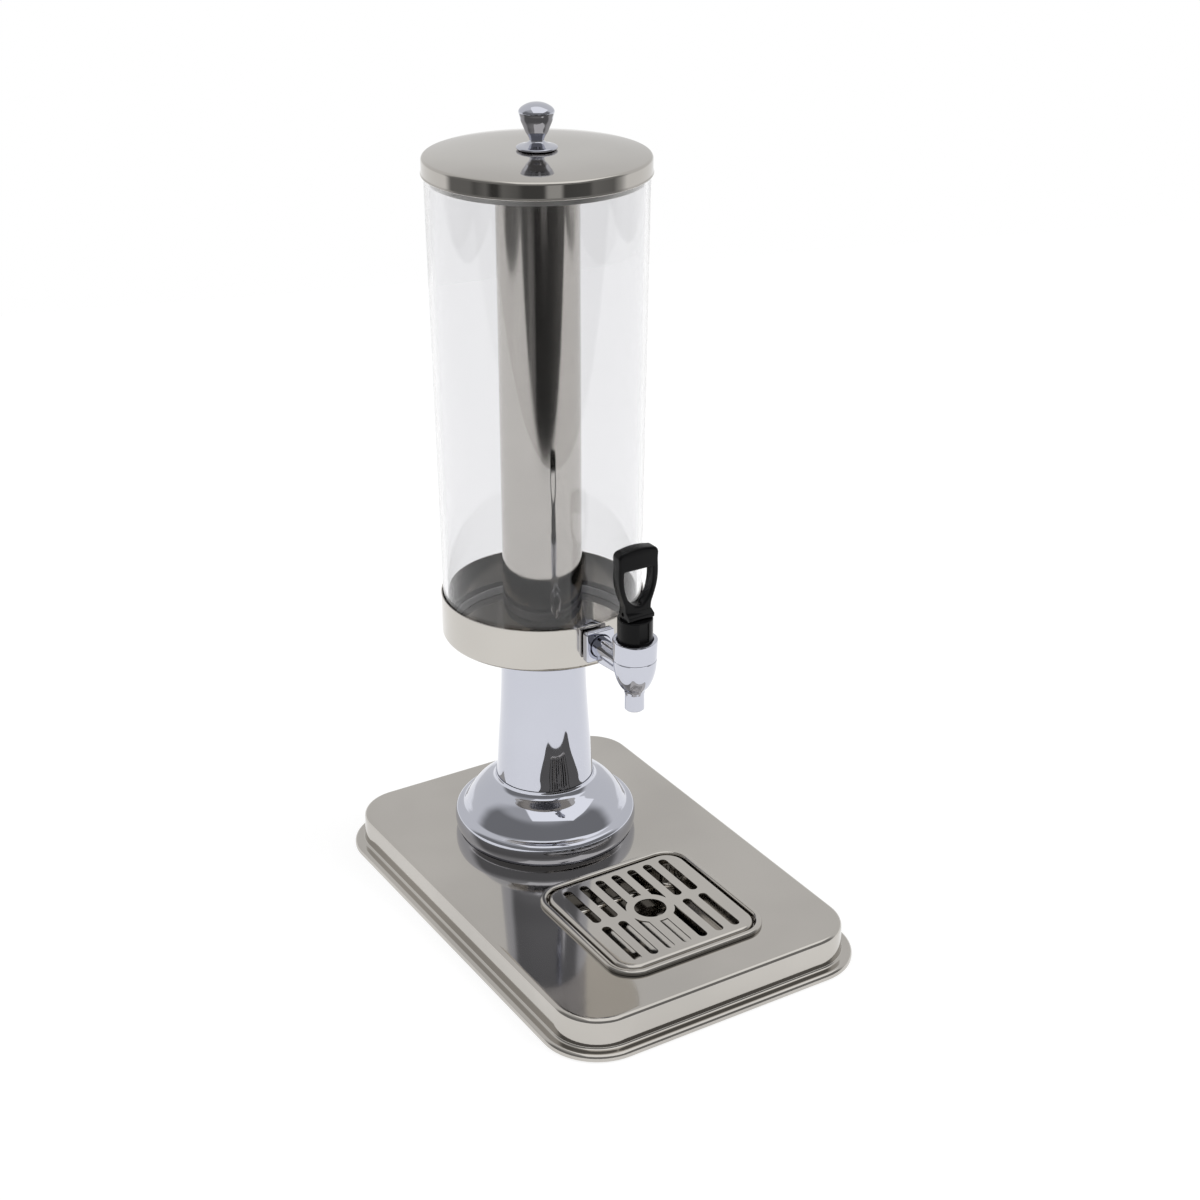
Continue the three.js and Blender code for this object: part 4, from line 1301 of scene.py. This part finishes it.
@dataclass
class IceTube(SubAssembly):
    """The steel tube for the ice, with the cap in its foot."""

    axis: float = 61.85
    body: Body = Body.ICE_TUBE
    radius: float = 25.5
    wall: float = 0.8
    span: Spot = (172.1, 466.0)
    cap_radius: float = 24.4
    cap_top: float = 178.1

    def build(self) -> None:
        """Build the tube and the cap."""
        tube = flat_ring(self.radius, self.radius - self.wall, *self.span, EDGE, FINE_STEPS)
        self.dress("ice_tube_fine", tube, DRAWN, "ice_tube")
        inner, under = self.cap_radius - self.wall, self.cap_top - self.wall
        line = bent([
            (0.0, under), (inner, under, 1.0), (inner, self.span[0], EDGE),
            (self.cap_radius, self.span[0], EDGE), (self.cap_radius, self.cap_top, 1.8),
            (0.0, self.cap_top),
        ])
        self.dress("ice_tube_cap", revolved(propped(line)), DRAWN, "ice_tube_base")


@dataclass
class Lid(SubAssembly):
    """The lid with its plug ring, knob, washer and screw."""

    axis: float = 61.85
    body: Body = Body.LID
    radius: float = 68.8
    middle: float = 484.291
    top: float = 481.5
    bottom: float = 471.192
    edge: float = 2.0
    shoulder: float = math.radians(9.6)
    crown_power: int = 4
    crown_shares: tuple[float, ...] = (
        0.1, 0.2, 0.3, 0.4, 0.5, 0.58, 0.66, 0.73, 0.8, 0.86, 0.92, 0.97,
    )
    sheet: float = 0.8
    bead: float = 0.6
    bead_height: float = 1.0
    bore: float = 2.55
    hem: float = 0.8
    plug_inner: float = 57.95
    plug_bend: float = 1.4
    plug_radius: float = 63.95
    plug_span: Spot = (466.992, 480.091)
    knob_radius: float = 10.7
    knob_span: Spot = (484.591, 511.991)
    knob_shares: tuple[Spot, ...] = (
        (1.09, 0.0), (1.159, 0.024), (1.15, 0.05), (1.04, 0.075), (0.74, 0.105), (0.5, 0.145),
        (0.41, 0.19), (0.48, 0.27), (0.62, 0.36), (0.755, 0.49), (0.89, 0.62), (0.945, 0.72),
        (1.0, 0.81), (0.91, 0.872), (0.67, 0.938), (0.38, 0.982), (0.0, 1.0),
    )
    knob_bore_top: float = 494.891
    recess: Spot = (6.5, 485.891)
    washer_radius: float = 6.0
    washer_span: Spot = (484.591, 485.591)
    screw_radius: float = 2.2
    screw_head: Spot = (4.6, 2.6)
    screw_span: Spot = (483.191, 494.591)

    def _shell(self) -> Form:
        """Return the lid's shell: a crowned top, a rounded shoulder and a beaded skirt."""
        lip = self.radius - self.edge
        bend = arc(lip, self.top - self.edge, self.edge, QUARTER - self.shoulder, 0.0, 10)
        reach, rim = bend[0]
        crown = [
            (reach * share, self.middle - (self.middle - rim) * share ** self.crown_power)
            for share in self.crown_shares
        ]
        skirt = [
            (self.radius, self.bottom + self.bead_height), (self.radius + self.bead, self.bottom),
        ]
        line = [(self.bore, self.middle), *crown, *bend]
        hidden = offset_line([*line, *skirt], self.sheet)
        under = (self.radius, self.top - 2 * self.edge)
        edge = bent([under, (*skirt[0], self.hem), (*skirt[1], EDGE), hidden[-1]], 6)
        return revolved([*line, *edge[1:], *reversed(hidden)], FINE_STEPS)

    def _plug(self) -> Form:
        """Return the ring that plugs into the cylinder."""
        low, high = self.plug_span
        corner = (self.plug_radius, high, self.plug_bend)
        line = bent([(self.plug_inner, high), corner, (self.plug_radius, low)])
        return revolved([*propped(line), *reversed(offset_line(line, self.sheet))], FINE_STEPS)

    def _knob(self) -> Form:
        """Return the turned knob with its recess and its blind bore."""
        low, high = self.knob_span
        line = smooth([(self.knob_radius * r, low + (high - low) * h) for r, h in self.knob_shares])
        side = [(radius, min(height, high)) for radius, height in line[:-1]]
        hollow = [
            (0.0, self.knob_bore_top), (self.bore, self.knob_bore_top),
            (self.bore, self.recess[1]), self.recess, (self.recess[0], low),
        ]
        return revolved([*hollow, *side, (0.0, high)], 96)

    def build(self) -> None:
        """Build the lid's pieces."""
        self.dress("lid_shell", self._shell(), POLISHED, "lid")
        self.dress("lid_plug_fine", self._plug(), SATIN, "lid_plug_ring")
        self.dress("lid_knob_fine", self._knob(), CHROME, "lid_knob")
        washer = flat_ring(self.washer_radius, self.bore, *self.washer_span, 0.4)
        self.dress("knob_spacer", washer, CHROME, "knob_washer")
        screw = pan_screw(self.screw_radius, *self.screw_head, *self.screw_span)
        self.dress("knob_screw_fine", screw, PLAIN, "knob_screw")


@dataclass
class Tap(SubAssembly):
    """The tap's body with its shank, nuts, seals and bonnet."""

    axis: float = -49.15
    shank_height: float = 188.0
    spout: Spot = (6.0, 161.9)
    body_line: tuple[Spot, ...] = (
        (6.05, 172.5), (7.1, 175.8), (9.0, 178.2), (10.9, 182.0), (12.3, 186.5), (13.1, 191.0),
        (13.4, 195.9),
    )
    collar_line: tuple[Spot, ...] = ((13.4, 196.7), (13.55, 200.0), (13.7, 204.0), (13.85, 209.0))
    collar_edge: tuple[Spot, ...] = ((-0.13, -0.12), (-0.38, 0.0))
    groove: Spot = (13.0, 196.3)
    top: float = 209.5
    lip: float = 0.4
    spout_bore: float = 4.0
    inside_line: tuple[Spot, ...] = (
        (11.6, 209.5), (11.3, 209.2), (11.3, 197.3), (8.4, 197.3), (8.4, 184.0), (4.0, 181.5),
    )
    neck_radius: float = 6.0
    neck_span: Spot = (9.2, 39.0)
    neck_steps: int = 24
    flare: float = 1.6
    flare_length: float = 8.0
    web_half: float = 2.7
    web_edge: float = 1.2
    web_fillet: float = 0.8
    web_start: float = 0.6
    web_gap: float = 0.25
    web_drops: Spot = (8.6, 11.2)
    shank_radius: float = 7.0
    shank_end: float = 61.956
    thread_pitch: float = 1.5
    water_bore: float = 3.8
    nut_size: float = 20.0
    nut_span: Spot = (39.3, 44.3)
    nut_corner: float = 1.6
    nut_bore: float = 7.4
    outer_seal: Spot = (44.6, 45.4)
    outer_seal_radius: float = 9.0
    inner_seal: Spot = (51.156, 53.156)
    inner_seal_radius: float = 9.4
    lock_nut: Spot = (53.456, 59.456)
    lock_nut_across: float = 22.0
    bonnet_edge: float = 0.25
    bonnet_line: tuple[Corner, ...] = (
        (8.4, 197.6), (10.9, 197.6, 0.3), (10.9, 224.0, 0.7), (2.55, 224.0, 0.3), (2.55, 221.0),
        (8.4, 221.0, 0.5),
    )
    recess_size: tuple[float, float, float] = (6.5, 12.6, 1.4)

    def _bowl(self) -> Form:
        """Return the bowl with its spout, collar and chamber."""
        radius, low = self.spout
        collar = smooth(self.collar_line, 4)
        edge = [(collar[-1][0] + x, self.top + z) for x, z in self.collar_edge]
        return revolved([
            (radius - self.lip, low), (radius, low + self.lip), *smooth(self.body_line, 8),
            self.groove, *collar, *edge, *self.inside_line,
            (self.spout_bore, low + self.lip), (self.spout_bore + self.lip, low),
        ], 128)

    def _section(self, y: float, drop: float, swell: float) -> list[Corner]:
        """Return the neck's section: a round bar with a web below it.

        Args:
            y: The section's place along the neck.
            drop: The web's foot below the neck's axis.
            swell: How far the section is wider than the neck.

        Returns:
            The section's corners.
        """
        radius, half = self.neck_radius + swell, self.web_half + swell
        foot = -drop - swell * 0.5
        join = -math.sqrt(radius ** 2 - half ** 2)
        opening = math.atan2(join, half) + QUARTER
        start = -opening - self.web_gap - QUARTER
        sweep = FULL_TURN - 2 * opening - 2 * self.web_gap
        bar = arc(0, 0, radius, start - sweep, start, 40)
        fillet, edge = (join - self.web_start, self.web_fillet), (foot, self.web_edge)
        sides = [(-half, *fillet), (-half, *edge), (half, *edge), (half, *fillet)]
        web = bent([bar[-1], *sides, bar[0]], 5)[1:-1]
        return [(x, y, z + self.shank_height) for x, z in (*bar, *web)]

    def _neck(self) -> Form:
        """Return the neck with its web, flared onto the bowl."""
        (start, end), (first, last) = self.neck_span, self.web_drops
        sections = []
        for i in range(self.neck_steps + 1):
            share = i / self.neck_steps
            y = start + (end - start) * share
            near = max(1 - (y - start) / self.flare_length, 0.0)
            drop = first + (last - first) * share
            sections.append(self._section(y, drop, self.flare * near ** 2))
        return lofted(sections)

    def _along(self, form: Form) -> Form:
        """Lay a form that was made along Z onto the shank."""
        return form.about(Axis.Y).moved(z=self.shank_height)

    def _body(self) -> Form:
        """Return the whole tap body, with its waterway."""
        run_out, top = EDGE - self.nut_span[0], 1.0 - self.neck_span[1]
        shank = threaded_bar(self.shank_radius, -self.shank_end, run_out, top, self.thread_pitch)
        water = round_bar(self.water_bore, 4.0, self.shank_end + 4.0, steps=40)
        whole = self._bowl().join(self._neck(), self._along(shank.scaled(z=-1.0)))
        return whole.cut(self._along(water))

    def _flange_nut(self) -> Form:
        """Return the square nut outside the tray."""
        half, (front, back) = self.nut_size / 2, self.nut_span
        signs = ((-1, -1), (1, -1), (1, 1), (-1, 1))
        corners = [(half * x, half * y, self.nut_corner) for x, y in signs]
        bore = circle(self.nut_bore, TINY_STEPS)
        plate = extruded([eased(corners, 5), bore], back - front, 0.6, 4)
        return self._along(plate.moved(z=(front + back) / 2))

    def _bonnet(self) -> Form:
        """Return the bonnet with the recess in its front."""
        _, (radius, _, _), (_, top, bend), *_ = self.bonnet_line
        width, height, depth = self.recess_size
        half = width / 2
        recess = rounded_block((-half, -radius - 4, -1), (half, depth - radius, 1), EDGE)
        recess.scaled(z=height / 2).moved(z=top - bend - height / 2)
        bonnet = revolved(propped(eased(self.bonnet_line, 6)), 96)
        return bonnet.cut(recess).softened(self.bonnet_edge, 2)

    def build(self) -> None:
        """Build the tap's fixed pieces."""
        self.dress("tap_body_fine", self._body(), CHROME, "tap_body")
        self.dress("flange_nut_fine", self._flange_nut(), CHROME, "flange_nut")
        outer = flat_ring(self.outer_seal_radius, self.nut_bore, *self.outer_seal, 0.2)
        self.dress("outer_seal_fine", self._along(outer), RUBBER, "outer_seal")
        inner = flat_ring(self.inner_seal_radius, self.nut_bore, *self.inner_seal, 0.5)
        self.dress("inner_seal_fine", self._along(inner), SILICONE, "inner_seal")
        low, high = self.lock_nut
        lock = nut(self.lock_nut_across, self.nut_bore, high - low).moved(z=low)
        self.dress("lock_nut_fine", self._along(lock), CHROME, "lock_nut")
        self.dress("tap_bonnet_fine", self._bonnet(), BLACK, "tap_bonnet")


@dataclass
class Valve(SubAssembly):
    """The valve's stem, cup, spring and pin."""

    axis: float = -49.15
    body: Body = Body.VALVE
    radius: float = 2.2
    bottom: float = 187.3
    collar_radius: float = 7.2
    collar_span: Spot = (190.6, 192.6)
    pin_height: float = 227.7
    pin_radius: float = 1.3
    pin_bore: float = 1.38
    pin_length: float = 15.0
    cup_line: tuple[Corner, ...] = (
        (0.0, 181.8), (3.7, 181.8, 0.4), (6.6, 184.3, 0.6), (6.6, 190.3, 0.6), (2.5, 190.3, 0.3),
        (2.5, 187.0), (0.0, 187.0),
    )
    spring_radius: float = 5.4
    spring_span: Spot = (193.5, 220.1)
    spring_turns: float = 7.0
    spring_keep: float = 0.887
    wire_radius: float = 0.6

    def _stem(self) -> Form:
        """Return the stem with its collar and its eye."""
        low, high = self.collar_span
        line = bent([
            (0.0, self.bottom), (self.radius, self.bottom, EDGE), (self.radius, low, EDGE),
            (self.collar_radius, low, EDGE), (self.collar_radius, high, EDGE),
            (self.radius, high, EDGE), (self.radius, self.pin_height), (0.0, self.pin_height),
        ], 4)
        eye = round_bar(self.radius * 0.98, -self.radius * 0.97, self.radius * 0.97, 0.2)
        bore = round_bar(self.pin_bore, -6.0, 6.0)
        eye, bore = (form.about(Axis.X).moved(z=self.pin_height) for form in (eye, bore))
        return revolved(line, TINY_STEPS).join(eye).cut(bore)

    def _spring(self) -> Form:
        """Return the spring."""
        low, high = self.spring_span
        recipe = Recipe("Spring")
        radius = recipe.given("Coil radius", self.spring_radius)
        helix = recipe.run(
            "CurveSpiral", Resolution=recipe.whole("Steps a turn", 32),
            Rotations=recipe.given("Turns", self.spring_turns), Start_Radius=radius,
            End_Radius=radius, Height=recipe.given("Length", high - low),
        )
        wire = recipe.run(
            "CurvePrimitiveCircle", Resolution=recipe.whole("Wire steps", 10),
            Radius=recipe.given("Wire radius", self.wire_radius),
        )
        coil = recipe.run("CurveToMesh", Curve=helix, Profile_Curve=wire, Fill_Caps=True)
        return recipe.bake(coil, PLAIN).welded().moved(z=low)

    def build(self) -> None:
        """Build the valve's pieces."""
        self.dress("valve_stem_fine", self._stem(), PLAIN, "valve_stem")
        cup = revolved(propped(bent(self.cup_line, 4)), SMALL_STEPS)
        self.dress("seat_cup_fine", cup, SILICONE, "seat_cup")
        half = self.pin_length / 2
        pin = round_bar(self.pin_radius, -half, half, EDGE).about(Axis.X)
        self.dress("lever_pin_fine", pin.moved(z=self.pin_height), PLAIN, "lever_pin")
        spring = self.dress(
            "valve_spring_fine", self._spring(), PLAIN, "valve_spring", body=Body.FRAME,
        )
        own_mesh(spring)


@dataclass
class Lever(SubAssembly):
    """The black lever with its finger hole and its cam."""

    axis: float = -49.15
    body: Body = Body.LEVER
    bottom: float = 224.3
    pin_height: float = 227.7
    pin_bore: float = 1.38
    pin_rise: float = 3.4
    thickness: float = 8.4
    rounding: float = 1.3
    half_width: float = 13.8
    height: float = 46.1
    corner: float = 4.0
    crown: float = 1.2
    crown_spots: tuple[float, ...] = (7.0, 5.0, 3.0, 1.0)
    waist: float = 8.9
    side: tuple[Spot, ...] = (
        (8.9, 0.0), (8.9, 4.61), (9.27, 9.22), (10.42, 12.45), (12.0, 17.06), (13.25, 22.13),
        (13.8, 27.66), (13.59, 36.88),
    )
    hole: tuple[Spot, ...] = (
        (0.0, 8.4), (2.2, 8.88), (5.0, 11.26), (7.6, 14.59), (8.9, 18.4), (9.7, 22.68),
        (10.0, 26.25), (10.0, 31.25),
    )
    hole_top: float = 32.2
    hole_corner: float = 1.0
    cam_lift: float = 4.5
    cam_steps: int = 16
    cam_inset: float = 0.15
    cam_edge: float = 0.5
    swing: float = math.radians(40)
    lip_height: float = 5.5
    fork_width: float = 5.0
    fork_radius: float = 2.5
    fork_reach: float = 4.0

    def _face(self) -> Form:
        """Return the lever's broad face with its finger hole."""
        x, y = self.half_width - self.corner, self.height - self.crown - self.corner
        bend = arc(x, y, self.corner, 0.0, QUARTER, 10)
        crown = [(s, self.height - self.crown * (s / x) ** 2) for s in self.crown_spots]
        right = [*smooth(self.side, 4), *bend, *crown]
        inset = self.hole_corner
        top = arc(self.hole[-1][0] - inset, self.hole_top - inset, inset, 0.0, QUARTER, 5)
        half = [*smooth(self.hole, 5)[:-1], *top]
        face = extruded([
            [*right, *((-x, y) for x, y in reversed(right))],
            [*half, *((-x, y) for x, y in reversed(half[1:]))],
        ], self.thickness, self.rounding, 5)
        return face.about(Axis.Y).scaled(z=-1.0).moved(z=self.bottom)

    def _cam(self) -> Form:
        """Return the cam, whose curve lifts the stem evenly as the lever tilts."""
        back = self.thickness / 2 - self.cam_inset
        curve = []
        for i in range(self.cam_steps + 1):
            tilt = self.swing * i / self.cam_steps
            reach = self.pin_rise + self.cam_lift * tilt
            sine, cosine = math.sin(tilt), math.cos(tilt)
            curve.append((
                -reach * sine - self.cam_lift * cosine, -reach * cosine + self.cam_lift * sine,
            ))
        lip = self.lip_height - self.pin_rise
        x, y = curve[-1]
        outline = [
            (back, -self.pin_rise), (back, lip), (-back, lip), (x, y + (lip - y) / 2),
            *reversed(curve),
        ]
        return slab(outline, self.waist, self.pin_height).softened(self.cam_edge, 3)

    def build(self) -> None:
        """Build the lever, with its bore and the fork that clears the stem."""
        sine, cosine = math.sin(self.swing), math.cos(self.swing)
        radius, side = self.fork_radius, self.fork_width / 2
        reach = self.pin_rise + self.cam_lift + self.fork_reach
        low = radius * sine - reach * cosine
        way = [
            (radius, 0.0), (-radius * cosine, radius * sine),
            (-radius * cosine - reach * sine, low), (radius, low),
        ]
        bore = round_bar(self.pin_bore, -20.0, 20.0, steps=32)
        seat = round_bar(radius, -side, side)
        bore, seat = (form.about(Axis.X).moved(z=self.pin_height) for form in (bore, seat))
        whole = self._face().join(self._cam())
        whole = whole.cut(bore, slab(way, side, self.pin_height), seat)
        self.dress("tap_lever_fine", whole, BLACK, "tap_lever")


@dataclass
class Studio:
    """The floor, the lights, the sky and the camera."""

    eye: Triple = (-0.62187, -1.01615, 0.77687)
    pitch: float = -25.23
    yaw: float = 31.69
    lens: float = 63.667
    sensor: float = 36.0
    sight: float = 100.0
    floor_sides: Sides = (-1.45, 1.5, -0.72, 1.4)
    floor_turn: float = math.radians(-16)
    floor_tone: float = 0.8
    floor_hold: float = 0.4
    floor_glow: float = 1.3
    day: float = 0.6
    low_cards: tuple[Spot, ...] = (
        (-180, 0.97), (-112, 0.97), (-94, 0.2), (-64, 0.18), (-52, 0.4), (-44, 0.4), (-36, 0.1),
        (-28, 0.12), (-22, 0.3), (-12, 0.2), (-6, 0.03), (24, 0.04), (50, 0.07), (72, 0.13),
        (96, 0.27), (112, 0.5), (124, 0.97), (180, 0.97),
    )
    high_cards: tuple[Spot, ...] = (
        (-180, 0.97), (-100, 0.97), (-92, 0.2), (-68, 0.2), (-62, 0.12), (-50, 0.2),
        (-44, 0.06), (-38, 0.06), (-32, 0.2), (-18, 0.15), (-12, 0.08), (8, 0.08), (12, 0.45),
        (24, 0.45), (28, 0.08), (54, 0.1), (58, 0.2), (82, 0.17), (92, 0.5), (100, 0.97),
        (180, 0.97),
    )
    window: Sides = (-0.3, 0.89, -0.5, 0.74)
    window_level: float = 1.25
    window_edge: float = 0.04
    horizon: Spot = (-0.01, 0.03)
    card_edge: Spot = (-0.27, -0.24)
    ceiling: float = 0.79
    dark_drop: float = 0.55
    dark_front: Spot = (-0.3, 0.05)
    dark_top: Spot = (0.6, 0.85)
    lamp_side: float = 1.3
    lamps: tuple[tuple[str, Triple, float], ...] = (
        ("key lamp", (1.5, -1.2, 2.2), 22.0), ("fill lamp", (-1.9, 0.8, 1.9), 12.0),
    )
    lamp_target: Triple = (0.0, 0.0, 0.2)

    def floor(self) -> None:
        """Lay the pale floor, which shows white and keeps the object's shadow."""
        left, right, near, far = self.floor_sides
        corners = [(left, near, 0), (right, near, 0), (right, far, 0), (left, far, 0)]
        mesh = bpy.data.meshes.new("floor")
        mesh.from_pydata(corners, [], [(0, 1, 2, 3)])
        mesh.transform(Matrix.Rotation(self.floor_turn, 4, "Z"))
        shader = Shader("Pale floor")
        rays = shader.add("ShaderNodeLightPath")
        seen, mirrored, through = (
            shader.term(rays, f"Is {kind} Ray") for kind in ("Camera", "Glossy", "Transmission")
        )
        colour = (self.floor_tone, self.floor_tone, self.floor_tone, 1.0)
        matt = shader.add("ShaderNodeBsdfDiffuse", {"Color": colour})
        glow = shader.add("ShaderNodeEmission", {"Color": WHITE, "Strength": self.floor_glow})
        mesh.materials.append(shader.close(shader.add("ShaderNodeMixShader", {
            0: seen.larger(mirrored).larger(through) * (1 - self.floor_hold),
            1: matt.outputs[0], 2: glow.outputs[0],
        })))
        thing = shown("floor", mesh)

    @staticmethod
    def _cards(graph: Graph, around: Term, cards: Sequence[Spot]) -> Term:
        """Return the level of a ring of grey cards, given as degrees around and levels."""
        stops = [((degrees + 180) / 360, level) for degrees, level in cards]
        return graph.term(graph.add("ShaderNodeValToRGB", {0: around}, stops=stops))

    @staticmethod
    def _patch(x: Term, y: Term, sides: Sides, soft: float) -> Term:
        """Return 1 inside a soft-edged rectangle of left, right, near and far, and 0 outside."""
        left, right, near, far = sides
        across = x.ramp(left - soft, left) * (1 - x.ramp(right, right + soft))
        return across * y.ramp(near - soft, near) * (1 - y.ramp(far, far + soft))

    def sky(self) -> None:
        """Set the sky: white behind the object, and a studio with grey cards in its mirrors."""
        world = bpy.data.worlds.new("studio")
        world.use_nodes = True
        bpy.context.scene.world = world
        graph = Graph(world.node_tree)
        rays = graph.add("ShaderNodeLightPath")
        x, y, z = graph.parts(graph.add("ShaderNodeTexCoord").outputs["Generated"])
        turn = math.radians(-self.yaw - 90)
        side = x * math.sin(turn) * -1.0 + y * math.cos(turn)
        front = x * math.cos(turn) + y * math.sin(turn)
        around = side.angle(front) / FULL_TURN + 0.5
        low, high = (self._cards(graph, around, ring) for ring in (self.low_cards, self.high_cards))
        cards = low + (high - low) * z.ramp(*self.card_edge)
        height = z.larger(0.01)
        window = self._patch(side / height, front / height, self.window, self.window_edge)
        dark = front.ramp(*self.dark_front) * (1 - z.ramp(*self.dark_top) * 0.5)
        upper = self.ceiling - dark * self.dark_drop
        above = z.ramp(*self.horizon)
        upper = upper + (self.window_level - upper) * window
        mirrored = cards * (1 - above) + upper * above
        plain = graph.term(rays, "Is Camera Ray").larger(graph.term(rays, "Is Transmission Ray"))
        mirror = graph.term(rays, "Glossy Depth") > 0.5
        level = mirror * mirrored + (1 - mirror) * (plain + (1 - plain) * self.day)
        glow = graph.add("ShaderNodeBackground", {"Color": WHITE, "Strength": level})
        graph.add("ShaderNodeOutputWorld", {"Surface": glow.outputs[0]})

    def lamp(self, name: str, place: Triple, power: float) -> None:
        """Hang one soft lamp, with its power in watts."""
        light = bpy.data.lights.new(name, "AREA")
        light.shape = "SQUARE"
        light.size = self.lamp_side
        light.energy = power
        thing = shown(name, light)
        thing.location = place
        towards = Vector(self.lamp_target) - Vector(place)
        thing.rotation_euler = towards.to_track_quat("-Z", "Y").to_euler()
        thing.visible_glossy = False

    def camera(self) -> None:
        """Set the camera to the photograph's view."""
        camera = bpy.data.cameras.new("camera")
        camera.lens = self.lens
        camera.sensor_width = self.sensor
        camera.sensor_fit = "HORIZONTAL"
        camera.clip_end = self.sight
        thing = shown("camera", camera)
        thing.location = self.eye
        thing.rotation_euler = (math.radians(90 + self.pitch), 0.0, math.radians(-self.yaw))
        bpy.context.scene.camera = thing

    def build(self) -> None:
        """Set up the whole studio."""
        self.floor()
        self.sky()
        for lamp in self.lamps:
            self.lamp(*lamp)
        self.camera()
        bpy.context.scene.view_settings.view_transform = "Standard"


def dress_carried_nodes(names: Sequence[str], finish: Finish) -> None:
    """Give CAD nodes that stay a procedural finish."""
    for name in names:
        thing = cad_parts[name]
        thing.data.materials.clear()
        thing.data.materials.append(finish.material())
        log.info("%s: kept, with the finish %s", name, finish.name)


def main() -> None:
    """Build every sub-assembly in order."""
    logging.basicConfig(level=logging.INFO, format="%(message)s")
    Studio().build()
    for kind in (Base, RubberFeet, DripTray, Column, Tank, IceTube, Lid, Tap, Valve, Lever):
        unit = kind()
        unit.build()
        log.info("%s: %d pieces", kind.__name__, len(unit.made))
    dress_carried_nodes(["tray_boss"], PLAIN)


if __name__ == "__main__":
    main()
